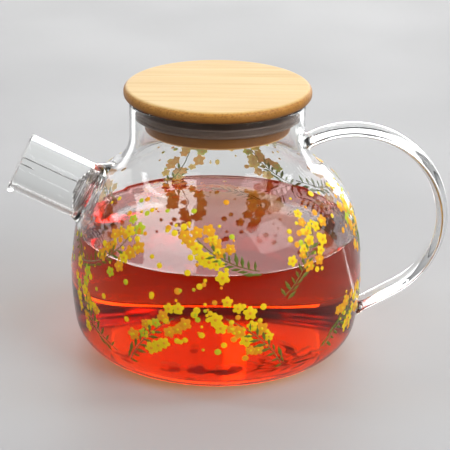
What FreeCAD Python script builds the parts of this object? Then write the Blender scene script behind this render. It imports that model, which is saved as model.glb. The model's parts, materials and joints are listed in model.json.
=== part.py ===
"""Glass teapot with a bamboo lid and a spring strainer in its spout, in millimetres.

Frame: the origin is the centre of the base on the table, +Z is up along the pot's axis, the handle is on
the +X side and the spout on the -X side.
"""
import FreeCAD
import Part
import math
import os

from FreeCAD import Vector

# Pot: outside of the blown glass
body_diameter = 140.0
neck_diameter = 82.7
neck_start_height = 105.0     # where the straight neck begins
neck_height = 17.8            # straight neck, up to the top of the rim
glass_wall = 2.2
heel_radius = 17.0            # round between base and belly
heel_inset = 1.4              # how far the heel's round stands in from the widest line
shoulder_radius = 35.7
shoulder_inset = 3.0          # how far the shoulder's round stands in from the widest line
neck_fillet_radius = 20.3

# Spout: straight tube on the -X side
spout_rise = 26.2             # degrees above level
spout_crossing_height = 78.8  # height of the spout's axis where it crosses the pot's widest line
spout_stand_off = 23.3        # from the pot's widest line to the middle of the mouth, level
spout_diameter = 28.0
spout_wall = 2.0
spout_flare_radius = 4.0      # round where the root opens out to its weld
spout_flare_angle = 28.0      # degrees from the tube's side, past the round
spout_flare_length = 2.2      # from the pot's outside, on the spout's axis, to where the round begins
spout_mouth_round = 0.7
lip_diameter = 3.4            # bead that is pulled out at the bottom of the mouth
lip_overhang = 1.3            # how far the bead's centre stands out from the tube
strainer_ledge = 0.7          # how far the hole in the pot stands in from the tube's bore

# Handle: oval glass strap, a round loop and a straight leg
handle_stand_off = 40.7       # from the pot's widest line to the outermost point of the loop
upper_weld_drop = 4.0         # from the start of the straight neck down to the upper weld
lower_weld_height = 17.1
handle_leg_slope = 30.0       # degrees that the leg falls towards the pot
handle_thickness = 6.0        # in the plane of the loop
handle_width = 15.0           # across the loop
weld_foot_length = 4.0
weld_foot_swell = 0.6         # how far a foot spreads on each side
weld_depth = 6.0              # how far the raw ends reach into the pot before they are cut off

# Lid
lid_gap = 0.3                 # between the rim and the board that rests on it
lid_overhang = 2.65           # how far the board stands out past the neck
board_thickness = 5.4
board_top_round = 2.4
board_under_round = 2.0
plug_clearance = 4.9          # between the plug and the inside of the neck
plug_depth = 15.0
plug_edge_round = 1.0
groove_depth = 2.7
groove_from_board = 3.9
seal_height = 4.4
seal_clearance = 0.3          # between the seal's ribs and the inside of the neck
seal_rib_height = 1.1         # how far each rib stands out of the ring
seal_rib_width = 1.3

# Strainer: one wire
wire_diameter = 0.7
turn_gap = 0.46               # between neighbouring close turns
strainer_clearance = 0.3      # between the wire and the glass around it
close_turns = 6               # close turns that reach through the hole into the pot
widening_turns = 0.75         # turns over which the coil widens to its collar
collar_turns = 1.25           # wide turn that stops on the ledge
cone_turns = 4                # turns that close towards the tail
cone_pitch = 0.95             # along the spout, for each turn of the cone
cone_end_radius = 2.4
tail_rise = 2.2               # height of the tail above the spout's axis
tail_bend_length = 4.0        # along the spout, from the last turn to the straight tail
hook_setback = 0.6            # from the mouth in to the tip of the hook
hook_radius = 1.7
hook_leg = 5.0

# Places that follow from the sizes above
body_radius = body_diameter / 2
neck_radius = neck_diameter / 2
neck_bore = neck_radius - glass_wall
rim_height = neck_start_height + neck_height
board_bottom = rim_height + lid_gap
plug_radius = neck_bore - plug_clearance
groove_floor = plug_radius - groove_depth
groove_top = board_bottom - groove_from_board
groove_bottom = groove_top - seal_height
spout_angle = math.radians(spout_rise)
spout_radius = spout_diameter / 2
spout_bore = spout_radius - spout_wall
hole_radius = spout_bore - strainer_ledge
mouth_station = (body_radius + spout_stand_off) / math.cos(spout_angle)
spout_origin = Vector(0, 0, spout_crossing_height - body_radius * math.tan(spout_angle))
spout_direction = Vector(-math.cos(spout_angle), 0, math.sin(spout_angle))
spout_up = Vector(math.sin(spout_angle), 0, math.cos(spout_angle))
up = Vector(0, 0, 1)
across = Vector(0, 1, 0)


def line(start, end):
    return Part.LineSegment(start, end).toShape()


def arc(start, middle, end):
    return Part.Arc(start, middle, end).toShape()


def polar(centre, radius, degrees):
    """Point in the XZ plane at an angle from +X towards +Z."""
    turn = math.radians(degrees)
    return centre + Vector(radius * math.cos(turn), 0, radius * math.sin(turn))


def profile_arc(centre, radius, start, end):
    """Arc in the XZ plane between two angles in degrees."""
    middle = (start + end) / 2
    return arc(polar(centre, radius, start), polar(centre, radius, middle), polar(centre, radius, end))


def closed_face(edges):
    """Face inside edges that follow each other, with straight lines where two of them don't meet."""
    outline = []
    for edge, following in zip(edges, edges[1:] + edges[:1]):
        outline.append(edge)
        last = edge.valueAt(edge.LastParameter)
        first = following.valueAt(following.FirstParameter)
        if not first.isEqual(last, 1e-6):
            outline.append(line(last, first))
    return Part.Face(Part.Wire(outline))


def direction_angle(start, end):
    """Angle in degrees, in the XZ plane, of the way from start to end."""
    return math.degrees(math.atan2(end.z - start.z, end.x - start.x))


def halving_root(function, low, high):
    """Where a function that goes from above zero at low to below zero at high crosses zero."""
    for _ in range(60):
        middle = (low + high) / 2
        if function(middle) > 0:
            low = middle
        else:
            high = middle
    return (low + high) / 2


def belly_radius_past(round_radius, inset, rise):
    """Radius of a belly tangent to a round that stands in by inset and lies rise from the widest line."""
    return round_radius + inset / 2 + rise ** 2 / (2 * inset)


def pot_rounds():
    """Centre, radius, start and end angle of heel, belly, shoulder and neck, each tangent to the next."""
    heel = Vector(body_radius - heel_inset - heel_radius, 0, heel_radius)
    neck = Vector(neck_radius + neck_fillet_radius, 0, neck_start_height)
    shoulder_x = body_radius - shoulder_inset - shoulder_radius
    drop = math.sqrt((shoulder_radius + neck_fillet_radius) ** 2 - (neck.x - shoulder_x) ** 2)
    shoulder = Vector(shoulder_x, 0, neck_start_height - drop)

    def radius_from_heel(widest):
        return belly_radius_past(heel_radius, heel_inset, widest - heel.z)

    def radius_from_shoulder(widest):
        return belly_radius_past(shoulder_radius, shoulder_inset, shoulder.z - widest)

    def mismatch(widest):
        return radius_from_shoulder(widest) - radius_from_heel(widest)

    widest_height = halving_root(mismatch, heel.z, shoulder.z)
    belly_radius = radius_from_heel(widest_height)
    belly = Vector(body_radius - belly_radius, 0, widest_height)
    heel_end = direction_angle(belly, heel)
    shoulder_start = direction_angle(belly, shoulder)
    shoulder_end = direction_angle(shoulder, neck)
    return [
        (heel, heel_radius, -90, heel_end),
        (belly, belly_radius, heel_end, shoulder_start),
        (shoulder, shoulder_radius, shoulder_start, shoulder_end),
        (neck, -neck_fillet_radius, shoulder_end, 0),
    ]


def outer_wall():
    """Arcs of the pot's outside, from the base up to the neck. A hollow round has a radius below zero."""
    return [profile_arc(centre, radius, start, end) for centre, radius, start, end in pot_rounds()]


def inner_wall():
    """Arcs of the pot's inside, from the neck down to the floor."""
    return [profile_arc(centre, radius - glass_wall, end, start)
            for centre, radius, start, end in reversed(pot_rounds())]


def turned(face):
    return face.revolve(Vector(0, 0, 0), up, 360)


def make_filled_pot():
    """The pot with its inside filled: what is welded to the pot is cut off along it."""
    top = line(Vector(neck_radius, 0, rim_height), Vector(0, 0, rim_height))
    axis = line(Vector(0, 0, rim_height), Vector(0, 0, 0))
    return turned(closed_face(outer_wall() + [top, axis]))


filled_pot = make_filled_pot()


def make_pot_body():
    half_wall = glass_wall / 2
    rim = profile_arc(Vector(neck_radius - half_wall, 0, rim_height - half_wall), half_wall, 0, 180)
    axis = line(Vector(0, 0, glass_wall), Vector(0, 0, 0))
    shell = turned(closed_face(outer_wall() + [rim] + inner_wall() + [axis]))
    hole = Part.makeCylinder(hole_radius, mouth_station, spout_origin, spout_direction)
    return shell.cut(hole)


def on_spout(station, height, side=0.0):
    """Point at a distance along the spout's axis from the pot's axis, above it and beside it."""
    return spout_origin + spout_direction * station + spout_up * height + across * side


def spout_root(radius, turn=0.0):
    """Station where a line along the spout, at a radius and turn about its axis, comes out of the pot."""
    height = radius * math.cos(turn)
    side = radius * math.sin(turn)
    inside = line(on_spout(0, height, side), on_spout(mouth_station, height, side)).common(filled_pot)
    return max((vertex.Point - spout_origin).dot(spout_direction) for vertex in inside.Vertexes)


def make_spout_tube():
    start = spout_root(0) - spout_radius
    flare_end = spout_root(0) + spout_flare_length
    sweep = math.radians(spout_flare_angle)

    def on_flare(angle):
        swell = spout_flare_radius * (1 - math.cos(angle))
        return on_spout(flare_end - spout_flare_radius * math.sin(angle), spout_radius + swell)

    flare_start = on_flare(sweep)
    flare_run = (flare_start - spout_origin).dot(spout_direction) - start
    raw_root = flare_start - spout_direction * flare_run + spout_up * (flare_run * math.tan(sweep))
    corner = spout_mouth_round * (1 - math.sqrt(0.5))
    mouth_start = mouth_station - spout_mouth_round
    outer_edge = spout_radius - spout_mouth_round
    inner_edge = spout_bore + spout_mouth_round
    outline = [
        line(raw_root, flare_start),
        arc(flare_start, on_flare(sweep / 2), on_flare(0)),
        arc(on_spout(mouth_start, spout_radius), on_spout(mouth_station - corner, spout_radius - corner),
            on_spout(mouth_station, outer_edge)),
        arc(on_spout(mouth_station, inner_edge), on_spout(mouth_station - corner, spout_bore + corner),
            on_spout(mouth_start, spout_bore)),
        line(on_spout(mouth_start, spout_bore), on_spout(start, spout_bore)),
    ]
    tube = closed_face(outline).revolve(spout_origin, spout_direction, 360)
    lip_centre = on_spout(mouth_station - lip_diameter / 2, -spout_radius - lip_overhang)
    bore = Part.makeCylinder(spout_bore, 2 * mouth_station, spout_origin, spout_direction)
    lip = Part.makeSphere(lip_diameter / 2, lip_centre).cut(bore)
    return tube.fuse(lip).removeSplitter().cut(filled_pot)


def oval(centre, tangent, swell=0.0):
    """Oval section of the strap, square to a tangent, with its long way across the loop."""
    long_half = handle_width / 2 + swell
    short_half = handle_thickness / 2 + swell
    short_way = across.cross(tangent).normalize()
    outline = Part.Ellipse(centre + across * long_half, centre + short_way * short_half, centre)
    return Part.Wire([outline.toShape()])


def weld_foot(section, tangent):
    """Foot from the strap's last section along a tangent into the pot, spread as the square of the way."""
    weld = section + tangent * weld_foot_length
    half_way = 0.5
    sections = [
        oval(section, tangent),
        oval(section + tangent * (weld_foot_length * half_way), tangent, weld_foot_swell * half_way ** 2),
        oval(weld, tangent, weld_foot_swell),
        oval(weld + tangent * weld_depth, tangent, weld_foot_swell),
    ]
    return Part.makeLoft(sections, True, False)


def on_pot(height):
    """Point of the pot's outside, on the handle's side, at a height."""
    level = line(Vector(0, 0, height), Vector(2 * body_radius, 0, height)).common(filled_pot)
    return Vector(level.Length, 0, height)


def handle_loop(upper_weld, lower_weld):
    """Centre and radius of the loop from the upper weld that runs into the leg to the lower weld."""
    outermost = body_radius + handle_stand_off - handle_thickness / 2
    slope = math.radians(handle_leg_slope)

    def centre_for(radius):
        rise = (outermost - lower_weld.x) * math.sin(slope) + radius * (1 - math.sin(slope))
        return Vector(outermost - radius, 0, lower_weld.z + rise / math.cos(slope))

    widest_radius = outermost - upper_weld.x
    radius = halving_root(lambda r: (upper_weld - centre_for(r)).Length - r, 0, widest_radius)
    return centre_for(radius), radius


def make_handle():
    upper_weld = on_pot(neck_start_height - upper_weld_drop)
    lower_weld = on_pot(lower_weld_height)
    centre, radius = handle_loop(upper_weld, lower_weld)
    leg_angle = handle_leg_slope - 90
    leg_tangent = polar(Vector(0, 0, 0), -1, handle_leg_slope)
    foot_angle = direction_angle(centre, upper_weld) - math.degrees(weld_foot_length / radius)
    upper_section = polar(centre, radius, foot_angle)
    upper_tangent = polar(Vector(0, 0, 0), 1, foot_angle + 90)
    lower_section = lower_weld - leg_tangent * weld_foot_length
    path = Part.Wire([
        profile_arc(centre, radius, foot_angle, leg_angle),
        line(polar(centre, radius, leg_angle), lower_section),
    ])
    strap = path.makePipeShell([oval(upper_section, upper_tangent)], True, False)
    feet = [weld_foot(upper_section, upper_tangent), weld_foot(lower_section, leg_tangent)]
    return strap.fuse(feet).removeSplitter().cut(filled_pot)


def make_lid_board():
    radius = neck_radius + lid_overhang
    top = board_bottom + board_thickness
    under_centre = Vector(radius - board_under_round, 0, board_bottom + board_under_round)
    top_centre = Vector(radius - board_top_round, 0, top - board_top_round)
    outline = [
        line(Vector(0, 0, top), Vector(0, 0, board_bottom)),
        profile_arc(under_centre, board_under_round, -90, 0),
        profile_arc(top_centre, board_top_round, 0, 90),
    ]
    return turned(closed_face(outline))


def make_lid_plug():
    bottom = board_bottom - plug_depth
    edge_centre = Vector(plug_radius - plug_edge_round, 0, bottom + plug_edge_round)
    outline = [
        line(Vector(0, 0, board_bottom), Vector(0, 0, bottom)),
        profile_arc(edge_centre, plug_edge_round, -90, 0),
        line(Vector(plug_radius, 0, groove_bottom), Vector(groove_floor, 0, groove_bottom)),
        line(Vector(groove_floor, 0, groove_top), Vector(plug_radius, 0, groove_top)),
        line(Vector(plug_radius, 0, board_bottom), Vector(0, 0, board_bottom)),
    ]
    return turned(closed_face(outline))


def make_lid_seal():
    """Ring that fills the groove, with two rounded ribs that stand out towards the neck."""
    tip = neck_bore - seal_clearance
    ring = tip - seal_rib_height
    half_rib = seal_rib_width / 2
    outline = [line(Vector(groove_floor, 0, groove_top), Vector(groove_floor, 0, groove_bottom))]
    for middle in (groove_bottom + half_rib, groove_top - half_rib):
        nose = profile_arc(Vector(tip - half_rib, 0, middle), half_rib, -90, 90)
        under = line(Vector(ring, 0, middle - half_rib), nose.valueAt(nose.FirstParameter))
        over = line(nose.valueAt(nose.LastParameter), Vector(ring, 0, middle + half_rib))
        outline.extend([under, nose, over])
    return turned(closed_face(outline))


def ledge_station():
    """Station at which the strainer's collar first meets the ledge around the hole."""
    quarters = [spout_root(hole_radius, quarter * math.pi / 2) for quarter in range(4)]
    return max(quarters)


def coil_states():
    """Turns so far, radius and station at each quarter turn of the coil, from the pot to the tail.

    The coil clears the ledge in the middle of its widening.
    """
    wire_radius = wire_diameter / 2
    pitch = wire_diameter + turn_gap
    hole_turn = hole_radius - strainer_clearance - wire_radius
    collar_turn = spout_bore - strainer_clearance - wire_radius
    collar_station = ledge_station() + strainer_clearance + wire_radius + widening_turns / 2 * pitch
    collar_from = close_turns + widening_turns
    cone_from = collar_from + collar_turns
    states = []
    for quarter in range(round(4 * (cone_from + cone_turns)) + 1):
        turn = quarter / 4
        widening = min(max((turn - close_turns) / widening_turns, 0), 1)
        closing = max((turn - cone_from) / cone_turns, 0)
        radius = hole_turn + (collar_turn - hole_turn) * widening
        radius += (cone_end_radius - collar_turn) * closing
        close_part = (min(turn, cone_from) - collar_from) * pitch
        cone_part = max(turn - cone_from, 0) * cone_pitch
        states.append((turn, radius, collar_station + close_part + cone_part))
    return states


def coil_point(turn, radius, station):
    angle = 2 * math.pi * turn
    return on_spout(station, radius * math.cos(angle), radius * math.sin(angle))


def coil_tangent(states, index):
    """Direction of the coil at a quarter turn, from the rates at which it turns, closes and climbs."""
    turn, radius, _ = states[index]
    before = states[max(index - 1, 0)]
    after = states[min(index + 1, len(states) - 1)]
    closing = (after[1] - before[1]) / (after[0] - before[0])
    climb = (after[2] - before[2]) / (after[0] - before[0])
    angle = 2 * math.pi * turn
    around = 2 * math.pi * radius
    height = closing * math.cos(angle) - around * math.sin(angle)
    side = closing * math.sin(angle) + around * math.cos(angle)
    return (spout_direction * climb + spout_up * height + across * side).normalize()


def arc_middle(start, tangent, end):
    """Middle point and radius of the arc that leaves start along a tangent and reaches end."""
    chord = end - start
    sideways = chord - tangent * tangent.dot(chord)
    radius = chord.Length ** 2 / (2 * sideways.Length)
    centre = start + sideways.normalize() * radius
    outwards = (start - centre) + (end - centre)
    return centre + outwards.normalize() * radius, radius


def biarc(start, start_tangent, end, end_tangent):
    """Two arcs that meet smoothly, with equal tangent lengths, and the smaller of their radii."""
    gap = end - start
    reach = gap.dot(start_tangent + end_tangent)
    spread = 2 * (1 - start_tangent.dot(end_tangent))
    length = (math.sqrt(reach ** 2 + spread * gap.dot(gap)) - reach) / spread
    joint = (start + start_tangent * length + end - end_tangent * length) * 0.5
    first_middle, first_radius = arc_middle(start, start_tangent, joint)
    second_middle, second_radius = arc_middle(end, end_tangent * -1, joint)
    arcs = [arc(start, first_middle, joint), arc(joint, second_middle, end)]
    return arcs, min(first_radius, second_radius)


def strainer_path():
    """Edges of the wire's middle line, from its end in the pot to the hook's end, and least radius."""
    states = coil_states()
    points = [coil_point(*state) for state in states]
    tangents = [coil_tangent(states, index) for index in range(len(states))]
    tail_start = on_spout(states[-1][2] + tail_bend_length, tail_rise)
    points.append(tail_start)
    tangents.append(spout_direction)
    edges = [line(points[0] - tangents[0] * wire_diameter, points[0])]
    least_radius = hook_radius
    for index in range(len(points) - 1):
        pair, radius = biarc(points[index], tangents[index], points[index + 1], tangents[index + 1])
        edges.extend(pair)
        least_radius = min(least_radius, radius)
    bend_station = mouth_station - hook_setback - hook_radius
    leg_rise = tail_rise - 2 * hook_radius
    hook_start = on_spout(bend_station, tail_rise)
    hook_tip = on_spout(bend_station + hook_radius, tail_rise - hook_radius)
    hook_end = on_spout(bend_station, leg_rise)
    edges.append(line(tail_start, hook_start))
    edges.append(arc(hook_start, hook_tip, hook_end))
    edges.append(line(hook_end, on_spout(bend_station - hook_leg, leg_rise)))
    return edges, least_radius


def least_self_gap(edges):
    """Least distance between stretches of the wire that aren't neighbours along it, less the wire."""
    spacing = wire_diameter / 3
    neighbour_length = 3 * wire_diameter
    samples = []
    along = 0.0
    for edge in edges:
        count = max(2, math.ceil(edge.Length / spacing))
        for point in edge.discretize(Number=count + 1)[:-1]:
            samples.append((along, point))
            along += edge.Length / count
    least = math.inf
    for index, (here, point) in enumerate(samples):
        for there, other in samples[index + 1:]:
            if there - here > neighbour_length:
                least = min(least, point.distanceToPoint(other))
    return least - wire_diameter


def make_spout_strainer():
    edges, least_radius = strainer_path()
    path = Part.Wire(edges)
    first = edges[0]
    start = first.valueAt(first.FirstParameter)
    section = Part.Circle(start, first.tangentAt(first.FirstParameter), wire_diameter / 2)
    wire = path.makePipeShell([Part.Wire([section.toShape()])], True, False)
    swept_volume = math.pi * wire_diameter ** 2 / 4 * path.Length
    print("strainer: wire length %.1f, least bend radius %.2f" % (path.Length, least_radius))
    print("strainer: least gap to itself %.2f" % least_self_gap(edges))
    print("strainer: volume %.2f, section times length %.2f" % (wire.Volume, swept_volume))
    return wire


def main():
    os.makedirs("parts", exist_ok=True)
    nodes = {
        "pot_body": make_pot_body(),
        "spout_tube": make_spout_tube(),
        "handle": make_handle(),
        "lid_board": make_lid_board(),
        "lid_plug": make_lid_plug(),
        "lid_seal": make_lid_seal(),
        "spout_strainer": make_spout_strainer(),
    }
    for name, shape in nodes.items():
        facts = (name, len(shape.Solids), shape.isValid(), shape.Volume)
        print("%s: solids %d, valid %s, volume %.1f" % facts)
        shape.exportStep("parts/%s.step" % name)


main()
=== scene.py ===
"""Looks of a glass teapot with a bamboo lid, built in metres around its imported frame.

The frame has +Z up along the pot's axis, the handle on the +X side and the spout on the -X side.
"""

import json
import logging
import math
from collections.abc import Callable
from dataclasses import dataclass
from enum import Enum
from typing import Any

import bpy
import numpy as np
from mathutils import Matrix, Vector


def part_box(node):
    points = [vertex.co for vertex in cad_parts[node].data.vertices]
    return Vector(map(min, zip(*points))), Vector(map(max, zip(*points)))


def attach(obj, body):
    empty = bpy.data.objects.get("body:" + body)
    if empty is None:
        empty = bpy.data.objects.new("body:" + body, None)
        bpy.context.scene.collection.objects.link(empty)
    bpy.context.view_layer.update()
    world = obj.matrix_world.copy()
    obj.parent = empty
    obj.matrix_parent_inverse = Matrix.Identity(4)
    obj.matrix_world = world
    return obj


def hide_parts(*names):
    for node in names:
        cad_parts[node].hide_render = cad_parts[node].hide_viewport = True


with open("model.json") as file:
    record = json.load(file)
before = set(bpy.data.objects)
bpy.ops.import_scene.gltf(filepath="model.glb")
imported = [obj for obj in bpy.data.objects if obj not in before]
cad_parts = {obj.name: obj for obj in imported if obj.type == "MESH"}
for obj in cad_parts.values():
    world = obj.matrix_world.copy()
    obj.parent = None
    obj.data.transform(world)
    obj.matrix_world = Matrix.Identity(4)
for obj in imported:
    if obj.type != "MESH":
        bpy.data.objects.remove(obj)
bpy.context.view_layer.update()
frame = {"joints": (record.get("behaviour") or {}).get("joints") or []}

Array = np.ndarray
Rule = Callable[[Array], Array]
Pair = tuple[float, float]
Place = tuple[float, float, float]
Colour = tuple[float, float, float]
Node = bpy.types.Node
Piece = bpy.types.Object
Socket = bpy.types.NodeSocket

FULL_TURN = 2 * math.pi
HALVINGS = 48
EDGE_POINTS = 90
SHARP_DEGREES = 40.0
NOISE_RANGE = (0.3, 0.7)

# Sizes in metres that more than one piece needs
SPOUT_HOLE = 0.0113
SPOUT_BORE = 0.012
LOWER_WELD = 0.0171

log = logging.getLogger("teapot")


class Body(Enum):
    """Bodies of the frame that pieces ride on."""

    POT = "pot"
    LID = "lid"
    STRAINER = "strainer"


class Slot(Enum):
    """Material slots of the record."""

    GLASS = "clear_glass"
    BAMBOO = "bamboo"
    SILICONE = "silicone"
    WIRE = "stainless_wire"
    PRINT = "printed_enamel"
    TEA = "tea"


# Surfaces


@dataclass
class Shape:
    """Points of a closed surface, with its four- and three-sided faces as rows of point numbers."""

    points: Array
    quads: Array
    triangles: Array

    def mesh(self, name: str, sharp_degrees: float) -> bpy.types.Mesh:
        """Put the arrays into a new smooth mesh.

        Args:
            name: Name of the mesh.
            sharp_degrees: Edges that turn by more than this stay sharp.

        Returns:
            The mesh.
        """
        corners = np.concatenate([self.quads.ravel(), self.triangles.ravel()])
        quad_starts = 4 * np.arange(len(self.quads))
        triangle_starts = 4 * len(self.quads) + 3 * np.arange(len(self.triangles))
        starts = np.concatenate([quad_starts, triangle_starts])
        mesh = bpy.data.meshes.new(name)
        mesh.vertices.add(len(self.points))
        mesh.vertices.foreach_set("co", self.points.astype(np.float32).ravel())
        mesh.loops.add(len(corners))
        mesh.loops.foreach_set("vertex_index", corners.astype(np.int32))
        mesh.polygons.add(len(starts))
        mesh.polygons.foreach_set("loop_start", starts.astype(np.int32))
        mesh.update(calc_edges=True)
        mesh.validate()
        mesh.set_sharp_from_angle(angle=math.radians(sharp_degrees))
        return mesh


def grid_quads(rows: int, columns: int, rows_close: bool = False) -> Array:
    """Faces of a grid of points that lie row after row, each row a closed ring.

    Each face joins two neighbours in a row to the same two in the next row.

    Args:
        rows: Number of rings.
        columns: Points in each ring.
        rows_close: Whether the last ring joins the first.

    Returns:
        Four point numbers for each face.
    """
    row = np.arange(rows if rows_close else rows - 1)[:, None]
    column = np.arange(columns)[None, :]
    above = (row + 1) % rows
    beside = (column + 1) % columns
    here, there = row * columns, above * columns
    corners = [here + column, here + beside, there + beside, there + column]
    return np.stack(np.broadcast_arrays(*corners), axis=-1).reshape(-1, 4)


def fan(ring: Array, pole: int) -> Array:
    """Triangles from each side of a ring of point numbers to a pole."""
    return np.stack([ring, np.roll(ring, -1), np.full_like(ring, pole)], axis=-1)


def closed_ring(grid: Array) -> Shape:
    """Surface of a grid whose rows and columns both close, such as a tube's wall with its bore."""
    rows, columns = grid.shape[:2]
    return Shape(grid.reshape(-1, 3), grid_quads(rows, columns, True), np.empty((0, 3), int))


def capped(grid: Array, first_pole: Array, last_pole: Array) -> Shape:
    """Surface of rings that is closed by a fan of triangles to a pole at each end.

    Args:
        grid: Points as rows, columns and coordinates, the rings anticlockwise about the way they go.
        first_pole: Point that closes the first ring.
        last_pole: Point that closes the last ring.

    Returns:
        The closed surface.
    """
    rows, columns = grid.shape[:2]
    count = rows * columns
    points = np.concatenate([grid.reshape(-1, 3), [first_pole, last_pole]])
    first = fan(np.arange(columns)[::-1], count)
    last = fan(np.arange(count - columns, count), count + 1)
    return Shape(points, grid_quads(rows, columns), np.concatenate([first, last]))


def turned_grid(profile: Array, columns: int) -> Array:
    """Turn a profile about the Z axis: each row is the circle at one of its radii and heights.

    Args:
        profile: Radius and height of each point.
        columns: Points in each circle.

    Returns:
        Points as rows, columns and coordinates.
    """
    angle = np.linspace(0, FULL_TURN, columns, endpoint=False)
    radius, height = profile[:, :1], profile[:, 1:]
    circle = [radius * np.cos(angle), radius * np.sin(angle), height + 0 * angle]
    return np.stack(circle, axis=-1)


def turned_solid(profile: Array, columns: int) -> Shape:
    """Turn a profile that starts and ends on the axis, anticlockwise, into a solid with two poles."""
    low, high = [np.array([0, 0, end]) for end in profile[[0, -1], 1]]
    return capped(turned_grid(profile[1:-1], columns), low, high)


def arc_points(centre: Pair, radius: float, start: float, end: float, count: int) -> Array:
    """Points of an arc in the plane of radius and height, between two angles in degrees.

    Args:
        centre: Radius and height of the arc's centre.
        radius: The arc's radius, below zero for a hollow arc seen from its other side.
        start: First angle, from outwards towards up.
        end: Last angle.
        count: Number of points.

    Returns:
        Radius and height of each point.
    """
    turn = np.radians(np.linspace(start, end, count))
    return np.stack([centre[0] + radius * np.cos(turn), centre[1] + radius * np.sin(turn)], axis=-1)


def run_points(start: Pair, end: Pair, count: int) -> Array:
    """Evenly spaced points of a straight run in the plane of radius and height."""
    return np.linspace(start, end, count)


def crossing(gap: Rule, low: Array, high: Array) -> Array:
    """Find where gaps pass from below zero at low to above zero at high, by halving whole arrays.

    Args:
        gap: Function of an array of places.
        low: Places where the gap is below zero.
        high: Places where it is above zero.

    Returns:
        The places where it is zero.
    """
    for _ in range(HALVINGS):
        middle = (low + high) / 2
        below = gap(middle) < 0
        low = np.where(below, middle, low)
        high = np.where(below, high, middle)
    return (low + high) / 2


def unit(vectors: Array) -> Array:
    """Vectors brought to length one."""
    return vectors / np.linalg.norm(vectors, axis=-1, keepdims=True)


def add_piece(shape: Shape, name: str, finish: "Finish", body: Body, slot: Slot, *nodes: str,
              sharp_degrees: float = SHARP_DEGREES) -> Piece:
    """Make a piece of the object from a surface, dress it and let it ride.

    Args:
        shape: The piece's surface.
        name: The piece's name.
        finish: What it is dressed with.
        body: The body that it moves with.
        slot: The record's slot that its finish belongs to; not used.
        nodes: Nodes of the frame that it stands for.
        sharp_degrees: Edges that turn by more than this stay sharp.

    Returns:
        The new object.
    """
    piece = bpy.data.objects.new(name, shape.mesh(name, sharp_degrees))
    bpy.context.scene.collection.objects.link(piece)
    piece.data.materials.append(finish.material())
    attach(piece, body.value)
    if nodes:
        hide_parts(*nodes)
    log.info("%s: %d points on body %s", name, len(shape.points), body.value)
    return piece


# Finishes


class NodeSheet:
    """Short way to lay and link the shader nodes of one material or world."""

    def __init__(self, owner: bpy.types.Material | bpy.types.World) -> None:
        """Start an empty sheet.

        Args:
            owner: The material or world that the nodes belong to.
        """
        owner.use_nodes = True
        self.tree = owner.node_tree
        self.tree.nodes.clear()

    def add(self, kind: str, inputs: dict[str | int, Any] | None = None, **settings: Any) -> Node:
        """Lay one node.

        Args:
            kind: Node type without its ShaderNode prefix.
            inputs: Value, or socket to link, for each input by name or number.
            settings: Values of the node's own options.

        Returns:
            The node.
        """
        node = self.tree.nodes.new("ShaderNode" + kind)
        for option, value in settings.items():
            setattr(node, option, value)
        for key, value in (inputs or {}).items():
            if isinstance(value, bpy.types.NodeSocket):
                self.tree.links.new(value, node.inputs[key])
            else:
                node.inputs[key].default_value = value
        return node

    def place(self, scale: Place = (1, 1, 1)) -> Socket:
        """Object coordinates, stretched by a scale along each axis."""
        coordinates = self.add("TexCoord").outputs["Object"]
        return self.add("Mapping", {"Vector": coordinates, "Scale": scale}).outputs[0]

    def noise(self, vector: Socket, scale: float, detail: float = 3.0) -> Socket:
        """Noise between about 0.25 and 0.75 at a scale."""
        return self.add("TexNoise", {"Vector": vector, "Scale": scale, "Detail": detail}).outputs[0]

    def spread(self, value: Socket, source: Pair, target: Pair) -> Socket:
        """Carry a value from one range to another, held at the ends.

        Args:
            value: What is carried.
            source: Lowest and highest value that count.
            target: What these two become.

        Returns:
            The new value.
        """
        limits = {"Value": value, "From Min": source[0], "From Max": source[1]}
        limits.update({"To Min": target[0], "To Max": target[1]})
        return self.add("MapRange", limits).outputs[0]

    def sum(self, kind: str, first: Any, second: Any = 0.0) -> Socket:
        """One step of arithmetic on two values."""
        return self.add("Math", {0: first, 1: second}, operation=kind).outputs[0]

    def mix(self, share: Any, first: Any, second: Any, blend: str = "MIX") -> Socket:
        """Mix two colours by a share."""
        sides = {0: share, 6: first, 7: second}
        return self.add("Mix", sides, data_type="RGBA", blend_type=blend).outputs[2]

    def ramp(self, value: Socket, stops: list[tuple[float, Colour]]) -> Socket:
        """Colour that runs through stops as a value goes from 0 to 1.

        Args:
            value: The value.
            stops: Value and colour of each stop, in rising order.

        Returns:
            The colour.
        """
        node = self.add("ValToRGB", {0: value})
        elements = node.color_ramp.elements
        while len(elements) < len(stops):
            elements.new(1.0)
        for element, (position, colour) in zip(elements, stops):
            element.position = position
            element.color = (*colour, 1)
        return node.outputs[0]

    def bump(self, height: Socket, strength: float, distance: float) -> Socket:
        """Normal of a surface with this height on it."""
        relief = {"Height": height, "Strength": strength, "Distance": distance}
        return self.add("Bump", relief).outputs[0]

    def finish(self, surface: Node, volume: Node | None = None) -> None:
        """Link the shaders to the material's output.

        Args:
            surface: Shader of the surface.
            volume: Shader of what is inside, if it has one.
        """
        sockets = {"Surface": surface.outputs[0]}
        if volume:
            sockets["Volume"] = volume.outputs[0]
        self.add("OutputMaterial", sockets)

    def lamps_pass(self, shader: Node, tint: Colour) -> Node:
        """Let the light of lamps through a clear shader, so that what is behind it is lit.

        Args:
            shader: The clear shader.
            tint: Share of the light that passes.

        Returns:
            The shader that does both.
        """
        shadow = self.add("LightPath").outputs["Is Shadow Ray"]
        clear = self.add("BsdfTransparent", {"Color": (*tint, 1)})
        return self.add("MixShader", {0: shadow, 1: shader.outputs[0], 2: clear.outputs[0]})


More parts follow.
